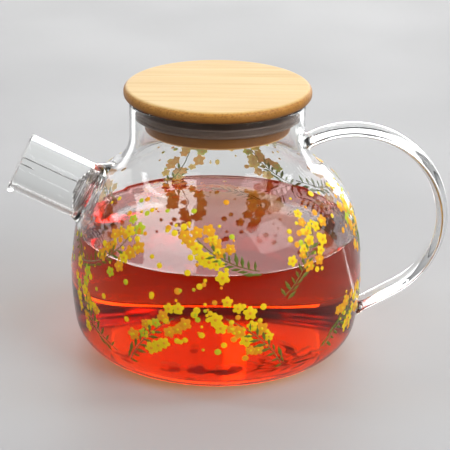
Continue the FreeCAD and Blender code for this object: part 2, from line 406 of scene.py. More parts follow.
class Finish:
    """Finish that makes its material once.

    A finish's relief is the strength and the depth of its bump, and its roughness is a range.
    """

    made: dict["Finish", bpy.types.Material] = {}

    def material(self) -> bpy.types.Material:
        """The finish's material, laid on the first call.

        Returns:
            The material.
        """
        if self not in Finish.made:
            material = bpy.data.materials.new(type(self).__name__)
            self.lay(NodeSheet(material))
            Finish.made[self] = material
        return Finish.made[self]

    def lay(self, sheet: NodeSheet) -> None:
        """Lay the finish's nodes on a sheet."""
        raise NotImplementedError


@dataclass(frozen=True)
class ClearGlass(Finish):
    """Polished blown glass: clear, with a slow waviness and a breath of haze."""

    colour: Colour = (0.985, 0.995, 0.99)
    shadow_tint: Colour = (0.98, 0.985, 0.985)
    ior: float = 1.47
    mirror: Colour = (0.20, 0.20, 0.20)
    wave_scale: float = 45.0
    haze_scale: float = 160.0
    haze_range: Pair = (0.4, 0.8)
    roughness: Pair = (0.0, 0.02)
    relief: Pair = (0.25, 0.0004)

    def lay(self, sheet: NodeSheet) -> None:
        """Lay the glass: noise on the normal for waviness and on the roughness for haze.

        Args:
            sheet: The material's nodes.
        """
        wave = sheet.noise(sheet.place(), self.wave_scale, 1.0)
        haze = sheet.noise(sheet.place(), self.haze_scale)
        glass = sheet.add("BsdfPrincipled", {
            "Base Color": (*self.colour, 1),
            "Roughness": sheet.spread(haze, self.haze_range, self.roughness),
            "Normal": sheet.bump(wave, *self.relief),
            "Transmission Weight": 1.0,
            "IOR": self.ior,
            "Specular Tint": (*self.mirror, 1),
        })
        sheet.finish(sheet.lamps_pass(glass, self.shadow_tint))


@dataclass(frozen=True)
class RedTea(Finish):
    """Clear tea that takes away blue and green with depth: thin tea is orange, deep tea dark red."""

    density: float = 150.0
    shadow_tint: Colour = (0.9, 0.9, 0.9)
    kept_colour: Colour = (0.960, 0.788, 0.05)
    ior: float = 1.333
    mirror: Colour = (0.25, 0.25, 0.25)
    ripple_scale: float = 60.0
    ripple_range: Pair = (0.3, 0.8)
    roughness: Pair = (0.0, 0.012)
    relief: Pair = (0.1, 0.0003)

    def lay(self, sheet: NodeSheet) -> None:
        """Lay the tea: a still, clear surface and plain absorption inside.

        Args:
            sheet: The material's nodes.
        """
        ripple = sheet.noise(sheet.place(), self.ripple_scale, 1.0)
        liquid = sheet.add("BsdfPrincipled", {
            "Base Color": (1, 1, 1, 1),
            "Roughness": sheet.spread(ripple, self.ripple_range, self.roughness),
            "Normal": sheet.bump(ripple, *self.relief),
            "Transmission Weight": 1.0,
            "IOR": self.ior,
            "Specular Tint": (*self.mirror, 1),
        })
        inside = {"Color": (*self.kept_colour, 1), "Density": self.density}
        depth = sheet.add("VolumeAbsorption", inside)
        sheet.finish(sheet.lamps_pass(liquid, self.shadow_tint), depth)


@dataclass(frozen=True)
class Bamboo(Finish):
    """Sanded bamboo in glued strips along X, with fine fibres, dark flecks and an edge of another colour.

    The edge's colour starts within an arris of edge_high, and goes over to the underside's at edge_low.
    With the board's colours this is partly the edge grain's own browner tone and partly painted shade:
    darker on the side, and near-black on and towards the underside, where shade falls under the board.
    """

    pale: Colour = (0.67, 0.48, 0.205)
    tan: Colour = (0.56, 0.35, 0.125)
    fleck: Colour = (0.20, 0.080, 0.010)
    # Painted shade, with the board's colours: edge is partly the grain's own tone and partly shade on the
    # side, and under is near-black shade on the underside.
    edge: Colour = (0.54, 0.255, 0.046)
    under: Colour = (0.14, 0.046, 0.006)
    edge_low: float = 0.1236
    edge_high: float = 0.1284
    arris: float = 0.0006
    strip_width: float = 0.019
    fibre_scale: Place = (5, 330, 330)
    fibre_share: Pair = (0.0, 0.55)
    fine_scale: Place = (22, 1400, 1400)
    fine_share: Pair = (-0.12, 0.2)
    cloud_scale: Place = (14, 40, 40)
    cloud_share: Pair = (0.0, 0.3)
    strip_share: Pair = (-0.1, 0.12)
    edge_grain: float = 0.5
    pore_scale: Place = (1000, 1500, 1500)
    pore_range: Pair = (0.47, 0.60)
    pores_on_face_and_edge: Pair = (0.04, 0.65)
    roughness: Pair = (0.42, 0.58)
    relief: Pair = (0.25, 0.0003)
    fine_relief: float = 0.6
    specular: float = 0.25

    def lay(self, sheet: NodeSheet) -> None:
        """Lay the wood: stretched noise for fibres, a tone for each strip, flecks, and the edge's colour
        with its painted shade.

        Args:
            sheet: The material's nodes.
        """
        fibre = sheet.noise(sheet.place(self.fibre_scale), 1.0, 5.0)
        fine = sheet.noise(sheet.place(self.fine_scale), 1.0, 2.0)
        cloud = sheet.noise(sheet.place(self.cloud_scale), 1.0, 2.0)
        split = sheet.add("SeparateXYZ", {0: sheet.add("TexCoord").outputs["Object"]})
        strip = sheet.sum("FLOOR", sheet.sum("DIVIDE", split.outputs[1], self.strip_width))
        shade = sheet.add("TexWhiteNoise", {"W": strip}, noise_dimensions="1D").outputs["Value"]
        layers = (
            (cloud, NOISE_RANGE, self.cloud_share),
            (fine, NOISE_RANGE, self.fine_share),
            (shade, (0, 1), self.strip_share),
        )
        grain = sheet.spread(fibre, NOISE_RANGE, self.fibre_share)
        for layer in layers:
            grain = sheet.sum("ADD", grain, sheet.spread(*layer))
        wood = sheet.mix(grain, (*self.pale, 1), (*self.tan, 1))
        turn_over = (self.edge_high - self.arris, self.edge_high)
        edge_share = sheet.spread(split.outputs[2], turn_over, (1.0, 0.0))
        # Painted shade: the edge goes darker from edge_high down to the underside's colour at edge_low.
        depth = sheet.spread(split.outputs[2], (self.edge_low, self.edge_high), (0.0, 1.0))
        brown = sheet.mix(depth, (*self.under, 1), (*self.edge, 1))
        brown = sheet.mix(sheet.sum("MULTIPLY", grain, self.edge_grain), brown, (*self.fleck, 1))
        wood = sheet.mix(edge_share, wood, brown)
        pores = sheet.noise(sheet.place(self.pore_scale), 1.0, 2.0)
        pore_share = sheet.spread(pores, self.pore_range, (0.0, 1.0))
        pore_limit = sheet.spread(edge_share, (0, 1), self.pores_on_face_and_edge)
        pore_share = sheet.sum("MULTIPLY", pore_share, pore_limit)
        wood = sheet.mix(pore_share, wood, (*self.fleck, 1))
        height = sheet.sum("ADD", fibre, sheet.sum("MULTIPLY", fine, self.fine_relief))
        shader = sheet.add("BsdfPrincipled", {
            "Base Color": wood,
            "Roughness": sheet.spread(fine, NOISE_RANGE, self.roughness),
            "Normal": sheet.bump(height, *self.relief),
            "Specular IOR Level": self.specular,
        })
        sheet.finish(shader)


@dataclass(frozen=True)
class Silicone(Finish):
    """Clear silicone with a matte skin, painted dark: painted shade of the gap under the board, with the
    wood behind it painted in.
    """

    # Painted shade: colour and dusty are dark, for the shaded gap and the wood behind the ring.
    colour: Colour = (0.22, 0.135, 0.09)
    dusty: Colour = (0.15, 0.088, 0.058)
    cloud_scale: float = 220.0
    roughness: Pair = (0.38, 0.52)
    relief: Pair = (0.1, 0.0002)
    clear: float = 0.65
    ior: float = 1.41

    def lay(self, sheet: NodeSheet) -> None:
        """Lay the rubber: partly clear, with faint cloudiness.

        Args:
            sheet: The material's nodes.
        """
        cloud = sheet.noise(sheet.place(), self.cloud_scale)
        shader = sheet.add("BsdfPrincipled", {
            "Base Color": sheet.mix(cloud, (*self.colour, 1), (*self.dusty, 1)),
            "Roughness": sheet.spread(cloud, NOISE_RANGE, self.roughness),
            "Normal": sheet.bump(cloud, *self.relief),
            "Transmission Weight": self.clear,
            "IOR": self.ior,
        })
        sheet.finish(shader)


@dataclass(frozen=True)
class DrawnWire(Finish):
    """Bright drawn stainless wire with fine draw marks."""

    colour: Colour = (0.50, 0.495, 0.49)
    shade: Colour = (0.34, 0.335, 0.33)
    mark_scale: float = 1800.0
    roughness: Pair = (0.10, 0.22)
    relief: Pair = (0.15, 0.00005)

    def lay(self, sheet: NodeSheet) -> None:
        """Lay the metal: uneven gloss and shade from one fine noise.

        Args:
            sheet: The material's nodes.
        """
        mark = sheet.noise(sheet.place(), self.mark_scale)
        shader = sheet.add("BsdfPrincipled", {
            "Base Color": sheet.mix(mark, (*self.colour, 1), (*self.shade, 1)),
            "Metallic": 1.0,
            "Roughness": sheet.spread(mark, NOISE_RANGE, self.roughness),
            "Normal": sheet.bump(mark, *self.relief),
        })
        sheet.finish(shader)


@dataclass(frozen=True)
class FiredPrint(Finish):
    """Thin enamel print that light glows through, coloured by the piece's own attribute."""

    attribute: str = "print_colour"
    mottle: Colour = (0.9, 0.55, 0.05)
    glow: float = 0.4
    ior: float = 1.3
    screen_scale: float = 900.0
    screen_range: Pair = (0.35, 0.75)
    mottle_share: Pair = (0.0, 0.2)
    roughness: Pair = (0.40, 0.55)
    relief: Pair = (0.1, 0.0001)

    def lay(self, sheet: NodeSheet) -> None:
        """Lay the enamel: the attribute's colour with a mottle from the screen and a satin skin.

        Args:
            sheet: The material's nodes.
        """
        own = sheet.add("Attribute", attribute_name=self.attribute).outputs["Color"]
        mottle = sheet.noise(sheet.place(), self.screen_scale)
        deeper = sheet.spread(mottle, self.screen_range, self.mottle_share)
        shader = sheet.add("BsdfPrincipled", {
            "Base Color": sheet.mix(deeper, own, (*self.mottle, 1), "MULTIPLY"),
            "Roughness": sheet.spread(mottle, NOISE_RANGE, self.roughness),
            "Normal": sheet.bump(mottle, *self.relief),
            "Transmission Weight": self.glow,
            "IOR": self.ior,
        })
        sheet.finish(shader)


@dataclass(frozen=True)
class PaleFloor(Finish):
    """Plain pale studio floor."""

    colour: Colour = (0.345, 0.345, 0.35)
    darker_share: float = 0.97
    uneven_scale: float = 6.0
    roughness: Pair = (0.5, 0.6)

    def lay(self, sheet: NodeSheet) -> None:
        """Lay the floor: one pale grey with a hardly visible unevenness.

        Args:
            sheet: The material's nodes.
        """
        uneven = sheet.noise(sheet.place(), self.uneven_scale)
        darker = [self.darker_share * part for part in self.colour]
        shader = sheet.add("BsdfPrincipled", {
            "Base Color": sheet.mix(uneven, (*self.colour, 1), (*darker, 1)),
            "Roughness": sheet.spread(uneven, NOISE_RANGE, self.roughness),
        })
        sheet.finish(shader)


# Pot


class Wall:
    """Turned face of the pot's wall, at an inset from its outside.

    A place on its profile grows by one along each of six stretches, from the axis over the base, heel,
    belly, shoulder and neck's fillet to the neck, so that the same place on two faces has one normal.
    """

    def __init__(self, stretches: list[Array]) -> None:
        """Join the stretches.

        Args:
            stretches: Densely spaced points of each stretch, as radius and height.
        """
        share = [index + np.linspace(0, 1, len(points)) for index, points in enumerate(stretches)]
        self.places = np.concatenate(share)
        self.radii, self.heights = np.concatenate(stretches).T
        steps = np.hypot(np.diff(self.radii), np.diff(self.heights))
        self.lengths = np.concatenate([[0], np.cumsum(steps)])
        self.rising = self.places >= 1

    def profile(self, place: Array) -> tuple[Array, Array]:
        """Radius and height at places on the profile."""
        return np.interp(place, self.places, self.radii), np.interp(place, self.places, self.heights)

    def radius_at(self, height: Array) -> Array:
        """Radius at heights above the base."""
        return np.interp(height, self.heights[self.rising], self.radii[self.rising])

    def place_at(self, height: Array) -> Array:
        """Place on the profile at heights above the base."""
        return np.interp(height, self.heights[self.rising], self.places[self.rising])

    def surface(self, angle: Array, place: Array) -> Array:
        """Points at angles round the axis and places on the profile."""
        radius, height = self.profile(place)
        return np.stack([radius * np.cos(angle), radius * np.sin(angle), height + 0 * angle], axis=-1)

    def outside(self, points: Array) -> Array:
        """How far points lie outside the wall, level, below zero for points inside."""
        return np.hypot(points[..., 0], points[..., 1]) - self.radius_at(points[..., 2])

    def wrap(self, angle: Array, length: Array, rise: Array) -> Array:
        """Lay flat work on the wall.

        Args:
            angle: Angles round the axis.
            length: Ways along the profile from the middle of the base.
            rise: Heights above the wall, along its normal.

        Returns:
            The points, each its place on the wall and its rise along the normal there.
        """
        radius = np.interp(length, self.lengths, self.radii)
        height = np.interp(length, self.lengths, self.heights)
        step = 1e-4
        outwards = np.interp(length + step, self.lengths, self.radii) - radius
        upwards = np.interp(length + step, self.lengths, self.heights) - height
        slope = np.arctan2(upwards, outwards)
        radius = radius + rise * np.sin(slope)
        height = height - rise * np.cos(slope)
        return np.stack([radius * np.cos(angle), radius * np.sin(angle), height], axis=-1)


@dataclass
class PotShape:
    """Turned form of the pot: base, heel, belly, shoulder and neck fillet, tangent to each other."""

    neck_radius: float = 0.04135
    neck_start: float = 0.105
    wall: float = 0.0022
    heel_radius: float = 0.017
    heel_inset: float = 0.0014
    shoulder_radius: float = 0.0357
    shoulder_inset: float = 0.003
    fillet_radius: float = 0.0203
    points_in_stretch: int = 500

    def __post_init__(self) -> None:
        """Take the widest radius and the rim's height from the frame."""
        low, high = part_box("pot_body")
        self.body_radius = round((high.y - low.y) / 2, 4)
        self.rim_height = round(high.z, 4)

    def rounds(self) -> list[tuple[Pair, float, float, float]]:
        """Arcs of heel, belly, shoulder and fillet.

        The belly is the one arc that is tangent to heel and shoulder and reaches the widest radius:
        past a round that stands in by an inset, at a rise from the widest line, its radius is the
        round's, plus half the inset, plus the rise squared over twice the inset.

        Returns:
            Centre, radius, first and last angle of each arc.
        """
        heel = (self.body_radius - self.heel_inset - self.heel_radius, self.heel_radius)
        fillet = (self.neck_radius + self.fillet_radius, self.neck_start)
        shoulder_out = self.body_radius - self.shoulder_inset - self.shoulder_radius
        centres_apart = self.shoulder_radius + self.fillet_radius
        drop = math.sqrt(centres_apart ** 2 - (fillet[0] - shoulder_out) ** 2)
        shoulder = (shoulder_out, self.neck_start - drop)

        def belly_past(radius: float, inset: float, rise: Array) -> Array:
            """Belly's radius that suits a round."""
            return radius + inset / 2 + rise ** 2 / (2 * inset)

        def past_heel(widest: Array) -> Array:
            """Belly's radius that suits the heel."""
            return belly_past(self.heel_radius, self.heel_inset, widest - heel[1])

        def past_shoulder(widest: Array) -> Array:
            """Belly's radius that suits the shoulder."""
            return belly_past(self.shoulder_radius, self.shoulder_inset, shoulder[1] - widest)

        def gap(widest: Array) -> Array:
            """How far the two answers lie apart."""
            return past_heel(widest) - past_shoulder(widest)

        widest = crossing(gap, heel[1], shoulder[1])
        belly_radius = float(past_heel(widest))
        belly = (self.body_radius - belly_radius, float(widest))

        def towards(first: Pair, second: Pair) -> float:
            """Angle of the way from one centre to another."""
            return math.degrees(math.atan2(second[1] - first[1], second[0] - first[0]))

        heel_end = towards(belly, heel)
        shoulder_start = towards(belly, shoulder)
        shoulder_end = towards(shoulder, fillet)
        return [
            (heel, self.heel_radius, -90, heel_end),
            (belly, belly_radius, heel_end, shoulder_start),
            (shoulder, self.shoulder_radius, shoulder_start, shoulder_end),
            (fillet, -self.fillet_radius, shoulder_end, 0),
        ]

    def face(self, inset: float) -> Wall:
        """The wall's face at an inset from its outside: each arc with its radius less the inset.

        Args:
            inset: How far the face lies inside the outside.

        Returns:
            The face.
        """
        dense = self.points_in_stretch
        arcs = [
            arc_points(centre, radius - inset, start, end, dense)
            for centre, radius, start, end in self.rounds()
        ]
        base = run_points((0, inset), tuple(arcs[0][0]), dense)
        neck_foot = tuple(arcs[-1][-1])
        neck = run_points(neck_foot, (neck_foot[0], self.rim_height - self.wall / 2), dense)
        return Wall([base, *arcs, neck])


@dataclass
class SpoutAxis:
    """Straight axis of the spout, from the pot's axis to the mouth, with ways above and beside it."""

    pot: PotShape
    crossing_height: float = 0.0788
    stand_off: float = 0.0233

    def __post_init__(self) -> None:
        """Take the spout's direction from the strainer's joint, which slides along it."""
        joint = next(joint for joint in frame["joints"] if joint["name"] == "strainer_pull")
        self.direction = unit(np.array(joint["axis"], float))
        self.across = np.array([0.0, 1.0, 0.0])
        self.above = np.cross(self.across, self.direction)
        reach = self.pot.body_radius
        slope = self.direction[2] / -self.direction[0]
        self.origin = np.array([0, 0, self.crossing_height - reach * slope])
        self.mouth = (reach + self.stand_off) / -self.direction[0]

    def at(self, station: Array, above: Array, beside: Array) -> Array:
        """Points at stations along the axis, each the sum of its three ways from the origin.

        Args:
            station: Distances along the axis.
            above: Distances above it.
            beside: Distances beside it.

        Returns:
            The points.
        """
        station, above, beside = np.broadcast_arrays(station, above, beside)
        ways = [
            station[..., None] * self.direction,
            above[..., None] * self.above,
            beside[..., None] * self.across,
        ]
        return self.origin + sum(ways)

    def round_at(self, station: Array, radius: Array, turn: Array) -> Array:
        """Points at stations, at a radius from the axis and a turn from above towards beside."""
        return self.at(station, radius * np.cos(turn), radius * np.sin(turn))

    def root(self, wall: Wall, radius: Rule, turn: Array, depth: float = 0.0) -> Array:
        """Stations where lines along the spout come out of the pot.

        Args:
            wall: Face of the pot's wall.
            radius: Radius from the axis as a function of the station.
            turn: Turns about the axis.
            depth: How far inside the face to stop.

        Returns:
            One station for each turn.
        """
        def gap(station: Array) -> Array:
            """How far points at a station stand outside the depth."""
            return wall.outside(self.round_at(station, radius(station), turn)) + depth

        low = np.full_like(turn, self.mouth / 3)
        return crossing(gap, low, np.full_like(turn, self.mouth))


@dataclass
class PotBody:
    """Blown glass vessel: one closed wall, outside, rim and inside, with a hole under the spout."""

    pot: PotShape
    axis: SpoutAxis
    hole_radius: float = SPOUT_HOLE
    columns: int = 256
    rows: tuple[int, ...] = (9, 20, 26, 28, 18, 8)
    rim_rows: int = 9
    patch_rings: int = 7
    patch_margin: int = 4

    def wall_places(self) -> Array:
        """Places of the rows on the profile, without the one on the axis."""
        stretches = [index + np.arange(1, count + 1) / count for index, count in enumerate(self.rows)]
        return np.concatenate(stretches)

    def hole_edge(self, wall: Wall, turn: Array) -> tuple[Array, Array]:
        """Edge of the hole, where lines at its radius along the spout come out of a face.

        Args:
            wall: Face of the wall.
            turn: Turns of the lines about the spout's axis.

        Returns:
            Angle round the pot and place on the profile for each line.
        """
        station = self.axis.root(wall, lambda station: self.hole_radius, turn)
        points = self.axis.round_at(station, self.hole_radius, turn)
        angle = np.arctan2(points[:, 1], points[:, 0]) % FULL_TURN
        return angle, wall.place_at(points[:, 2])

    def shape(self) -> Shape:
        """Build the vessel.

        A grid of circles goes up the outside, over the round rim and down the inside, with a pole at
        the middle of the base and of the floor. Round the spout's hole a block of the grid is left out
        on both faces, and rings of points lead from the block's edge to the hole's edge, each a step of
        the way in angle and place. A band through the wall joins the two edges of the hole.

        Returns:
            The closed surface.
        """
        outer = self.pot.face(0)
        inner = self.pot.face(self.pot.wall)
        places = self.wall_places()
        half_wall = self.pot.wall / 2
        rim_centre = (self.pot.neck_radius - half_wall, self.pot.rim_height - half_wall)
        rim = arc_points(rim_centre, half_wall, 0, 180, self.rim_rows + 2)[1:-1]
        outside = np.stack(outer.profile(places), axis=-1)
        inside = np.stack(inner.profile(places), axis=-1)[::-1]
        grid = turned_grid(np.concatenate([outside, rim, inside]), self.columns)
        rows = len(grid)
        count = rows * self.columns

        whole_turn = np.linspace(0, FULL_TURN, EDGE_POINTS)
        edges = [self.hole_edge(wall, whole_turn) for wall in (outer, inner)]
        angles, edge_places = [np.concatenate(parts) for parts in zip(*edges)]
        step = FULL_TURN / self.columns
        left = int(angles.min() / step) - self.patch_margin
        right = int(angles.max() / step) + 1 + self.patch_margin
        low = int(np.searchsorted(places, edge_places.min())) - self.patch_margin
        high = int(np.searchsorted(places, edge_places.max())) + self.patch_margin
        across = np.arange(left, right)
        up = np.arange(low, high)
        loop_column = np.concatenate([across, 0 * up + right, across[::-1] + 1, 0 * up + left])
        loop_row = np.concatenate([0 * across + low, up, 0 * across + high, up[::-1] + 1])

        quads = grid_quads(rows, self.columns)
        quad_row, quad_column = np.divmod(np.arange(len(quads)), self.columns)
        in_columns = (quad_column >= left) & (quad_column < right)
        in_outer = (quad_row >= low) & (quad_row < high)
        in_inner = (quad_row >= rows - 1 - high) & (quad_row < rows - 1 - low)
        faces = [quads[~(in_columns & (in_outer | in_inner))]]

        corner = grid[loop_row, loop_column] - self.axis.origin
        turn = np.arctan2(corner @ self.axis.across, corner @ self.axis.above)
        share = (np.arange(1, self.patch_rings + 1) / self.patch_rings)[:, None]
        rings = (self.patch_rings, len(turn))
        points = [grid.reshape(-1, 3), [[0, 0, 0], [0, 0, self.pot.wall]]]
        edge_rings = []
        start = count + 2
        for wall, rows_of_loop, winding in ((outer, loop_row, 1), (inner, rows - 1 - loop_row, -1)):
            edge_angle, edge_place = self.hole_edge(wall, turn)
            angle = loop_column * step * (1 - share) + edge_angle * share
            place = places[loop_row] * (1 - share) + edge_place * share
            points.append(wall.surface(angle, place).reshape(-1, 3))
            ring_numbers = start + np.arange(math.prod(rings)).reshape(rings)
            numbers = np.concatenate([[rows_of_loop * self.columns + loop_column], ring_numbers])
            patch = numbers.ravel()[grid_quads(*numbers.shape)]
            faces.append(patch[:, ::winding])
            edge_rings.append(ring_numbers[-1])
            start += ring_numbers.size
        band = np.concatenate(edge_rings)[grid_quads(2, len(turn))]
        base = fan(np.arange(self.columns)[::-1], count)
        floor = fan(np.arange(count - self.columns, count), count + 1)
        middles = np.concatenate([base, floor])
        whole = Shape(np.concatenate(points), np.concatenate([*faces, band]), middles)
        return without_loose_points(whole)

    def build(self) -> Piece:
        """Make the vessel and dress it in glass."""
        return add_piece(self.shape(), "glass_body", ClearGlass(), Body.POT, Slot.GLASS, "pot_body")


def without_loose_points(shape: Shape) -> Shape:
    """Leave out the points of a surface that no face uses.

    Args:
        shape: The surface.

    Returns:
        The same surface with its points numbered anew.
    """
    used = np.unique(np.concatenate([shape.quads.ravel(), shape.triangles.ravel()]))
    numbers = np.zeros(len(shape.points), int)
    numbers[used] = np.arange(len(used))
    return Shape(shape.points[used], numbers[shape.quads], numbers[shape.triangles])


@dataclass
class Spout:
    """Straight glass tube that opens out to its weld, with a round mouth and a bead below it."""

    pot: PotShape
    axis: SpoutAxis
    radius: float = 0.014
    bore: float = SPOUT_BORE
    flare_radius: float = 0.004
    flare_angle: float = math.radians(28)
    flare_length: float = 0.0022
    mouth_round: float = 0.0007
    lip_back: float = 0.0017
    lip_reach: float = 0.0023
    lip_height: float = 0.0029
    lip_fullness: float = 0.8
    weld_overlap: float = 0.0001
    columns: int = 180
    gather: float = 0.55
    root_share: float = 0.3
    root_rows: int = 20
    tube_rows: int = 12
    mouth_share: float = 0.88
    mouth_rows: int = 18
    bend_rows: int = 6
    bore_rows: int = 28

    def outer_radius(self, station: Array) -> Array:
        """Radius of the outside: the tube, then an arc, then a cone towards the pot.

        Args:
            station: Distances along the spout's axis.

        Returns:
            One radius for each.
        """
        back = np.maximum(self.flare_end - station, 0)
        on_arc = np.minimum(back, self.flare_radius * math.sin(self.flare_angle))
        swell = self.flare_radius - np.sqrt(self.flare_radius ** 2 - on_arc ** 2)
        return self.radius + swell + (back - on_arc) * math.tan(self.flare_angle)

    def lip(self, station: Array, turn: Array) -> Array:
        """Rise of the bead: a round bump on the underside, just behind the mouth.

        Args:
            station: Distances along the spout's axis.
            turn: Turns about it, from above.

        Returns:
            How far the outside stands out there.
        """
        beside = self.radius * (turn - math.pi)
        behind = station - (self.axis.mouth - self.lip_back)
        share = np.clip(1 - (beside ** 2 + behind ** 2) / self.lip_reach ** 2, 0, 1)
        return self.lip_height * share ** self.lip_fullness

    def shape(self) -> Shape:
        """Build the tube.

        Rings of points go from the weld along the outside, round the mouth and back along the bore, and
        the last ring joins the first inside the pot's wall. Columns lie closer together at the bead.

        Returns:
            The closed surface.
        """
        wall = self.pot.face(0)
        middle = self.axis.root(wall, lambda station: 0 * station, np.zeros(1))
        self.flare_end = float(middle[0]) + self.flare_length
        even = np.linspace(0, FULL_TURN, self.columns, endpoint=False)
        turn = even + self.gather * np.sin(even)
        outer_root = self.axis.root(wall, self.outer_radius, turn, self.weld_overlap)
        inner_root = self.axis.root(wall, lambda station: self.bore, turn, self.weld_overlap)
        mouth_start = self.axis.mouth - self.mouth_round
        share = np.concatenate([
            np.linspace(0, self.root_share, self.root_rows),
            np.linspace(self.root_share, self.mouth_share, self.tube_rows)[1:],
            np.linspace(self.mouth_share, 1, self.mouth_rows)[1:],
        ])
        station = outer_root + share[:, None] * (mouth_start - outer_root)
        outside_radius = self.outer_radius(station)
        bend = np.radians(np.linspace(0, 90, self.bend_rows))[1:, None]
        outer_bend = mouth_start + self.mouth_round * np.sin(bend) + 0 * turn
        outer_bend_radius = self.radius - self.mouth_round * (1 - np.cos(bend)) + 0 * turn
        inner_bend = outer_bend[::-1]
        inner_bend_radius = 2 * self.bore + (self.radius - self.bore) - outer_bend_radius[::-1]
        back = np.linspace(0, 1, self.bore_rows)[:, None]
        inside = mouth_start + back * (inner_root - mouth_start)
        inside_radius = self.bore + 0 * inside
        lip = [self.lip(station, turn), self.lip(outer_bend, turn) * np.cos(bend / 2)]
        radius = [outside_radius + lip[0], outer_bend_radius + lip[1], inner_bend_radius, inside_radius]
        stations = np.concatenate([station, outer_bend, inner_bend, inside])
        return closed_ring(self.axis.round_at(stations, np.concatenate(radius), turn))

    def build(self) -> Piece:
        """Make the tube and dress it in glass."""
        return add_piece(self.shape(), "glass_spout", ClearGlass(), Body.POT, Slot.GLASS, "spout_tube")


@dataclass
class Handle:
    """Oval glass strap: a round loop from the upper weld and a straight leg to the lower weld."""

    pot: PotShape
    thickness: float = 0.006
    width: float = 0.015
    upper_weld: float = 0.101
    lower_weld: float = LOWER_WELD
    leg_slope: float = math.radians(30)
    foot_length: float = 0.004
    foot_swell: float = 0.0006
    foot_rows: int = 8
    loop_rows: int = 150
    leg_rows: int = 20
    weld_overlap: float = 0.0001
    weld_search: float = 0.02
    columns: int = 64

    def loop(self, upper: Array, lower: Array) -> tuple[Array, float]:
        """Centre and radius of the loop that starts at the upper weld and runs into the leg.

        The loop's outermost point is the frame's. For a radius, the centre lies that far in from it,
        at the height at which the loop is tangent to the leg. The right radius is the distance from the
        centre to the upper weld.

        Args:
            upper: Middle of the upper weld, as distance out and height.
            lower: Middle of the lower weld.

        Returns:
            The centre and the radius.
        """
        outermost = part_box("handle")[1].x - self.thickness / 2
        sine, cosine = math.sin(self.leg_slope), math.cos(self.leg_slope)

        def centre(radius: Array) -> Array:
            """Centre for a radius."""
            rise = (outermost - lower[0]) * sine + radius * (1 - sine)
            return np.array([outermost - radius, lower[1] + rise / cosine])

        def gap(radius: Array) -> Array:
            """How much longer a radius is than the upper weld's distance."""
            return radius - np.linalg.norm(upper - centre(radius))

        radius = float(crossing(gap, 0.0, outermost - upper[0]))
        return centre(radius), radius

    def shape(self) -> Shape:
        """Build the strap.

        Ovals are carried along the loop and the leg. Towards a weld they swell with the square of the
        way, and the last ones shrink to the middle, pushed along the strap on to the pot's outside.

        Returns:
            The closed surface.
        """
        wall = self.pot.face(0)
        upper = np.array([float(wall.radius_at(self.upper_weld)), self.upper_weld])
        lower = np.array([float(wall.radius_at(self.lower_weld)), self.lower_weld])
        centre, radius = self.loop(upper, lower)
        first = math.atan2(upper[1] - centre[1], upper[0] - centre[0])
        last = self.leg_slope - math.pi / 2
        loop_turn = np.linspace(first - self.foot_length / radius, last, self.loop_rows)
        foot_turn = np.full(self.foot_rows, loop_turn[0])
        tangent_way = np.array([-math.cos(self.leg_slope), -math.sin(self.leg_slope)])
        leg_start = centre + radius * np.array([math.cos(last), math.sin(last)])
        leg_length = float((lower - leg_start) @ tangent_way)
        leg_way = np.concatenate([
            np.linspace(0, leg_length - self.foot_length, self.leg_rows)[1:],
            np.linspace(leg_length - self.foot_length, leg_length, self.foot_rows + 1)[1:],
        ])
        turn = np.concatenate([foot_turn, loop_turn, np.full(len(leg_way), last)])
        outwards = np.stack([np.cos(turn), np.sin(turn)], axis=-1)
        along = np.stack([np.sin(turn), -np.cos(turn)], axis=-1)
        foot_way = np.linspace(self.foot_length, 0, self.foot_rows, endpoint=False)
        push = np.concatenate([-foot_way, np.zeros(len(loop_turn)), leg_way])
        middle = centre + radius * outwards + push[:, None] * along
        leg_weld_way = self.foot_length - (leg_length - leg_way)
        weld_way = np.concatenate([foot_way, np.zeros(len(loop_turn)), leg_weld_way])
        swell = self.foot_swell * (np.maximum(weld_way, 0) / self.foot_length) ** 2

        shrink = np.array([1.0, 0.66, 0.33])
        caps = len(shrink)
        inner = np.concatenate([shrink[::-1], np.ones(len(turn)), shrink])
        pick = np.concatenate([np.zeros(caps, int), np.arange(len(turn)), np.full(caps, len(turn) - 1)])
        section = np.linspace(0, FULL_TURN, self.columns, endpoint=False)
        wide = (inner * (self.width / 2 + swell[pick]))[:, None] * np.cos(section)
        thick = (inner * (self.thickness / 2 + swell[pick]))[:, None] * np.sin(section)
        flat = middle[pick][:, None, :] + thick[..., None] * outwards[pick][:, None, :]
        grid = np.stack([flat[..., 0], wide, flat[..., 1]], axis=-1)
        ways = np.stack([along[:, 0], 0 * along[:, 0], along[:, 1]], axis=-1)
        poles = []
        welds = (
            (slice(0, caps + 1), middle[0], -ways[0]),
            (slice(-caps - 1, None), middle[-1], ways[-1]),
        )
        for ends, point, way in welds:
            grid[ends] = self.on_pot(wall, grid[ends], way)
            poles.append(self.on_pot(wall, np.array([point[0], 0, point[1]]), way))
        return capped(grid, *poles)

    def on_pot(self, wall: Wall, points: Array, way: Array) -> Array:
        """Carry points along a way until they lie just inside the pot's outside.

        Args:
            wall: The pot's outside.
            points: What is carried.
            way: The way, of length one.

        Returns:
            The carried points.
        """
        reach = np.full(points.shape[:-1], self.weld_search)

        def gap(push: Array) -> Array:
            """How far points pushed along the way lie inside."""
            return -wall.outside(points + push[..., None] * way) - self.weld_overlap

        return points + crossing(gap, -reach, reach)[..., None] * way

    def build(self) -> Piece:
        """Make the strap and dress it in glass."""
        return add_piece(self.shape(), "glass_handle", ClearGlass(), Body.POT, Slot.GLASS, "handle")


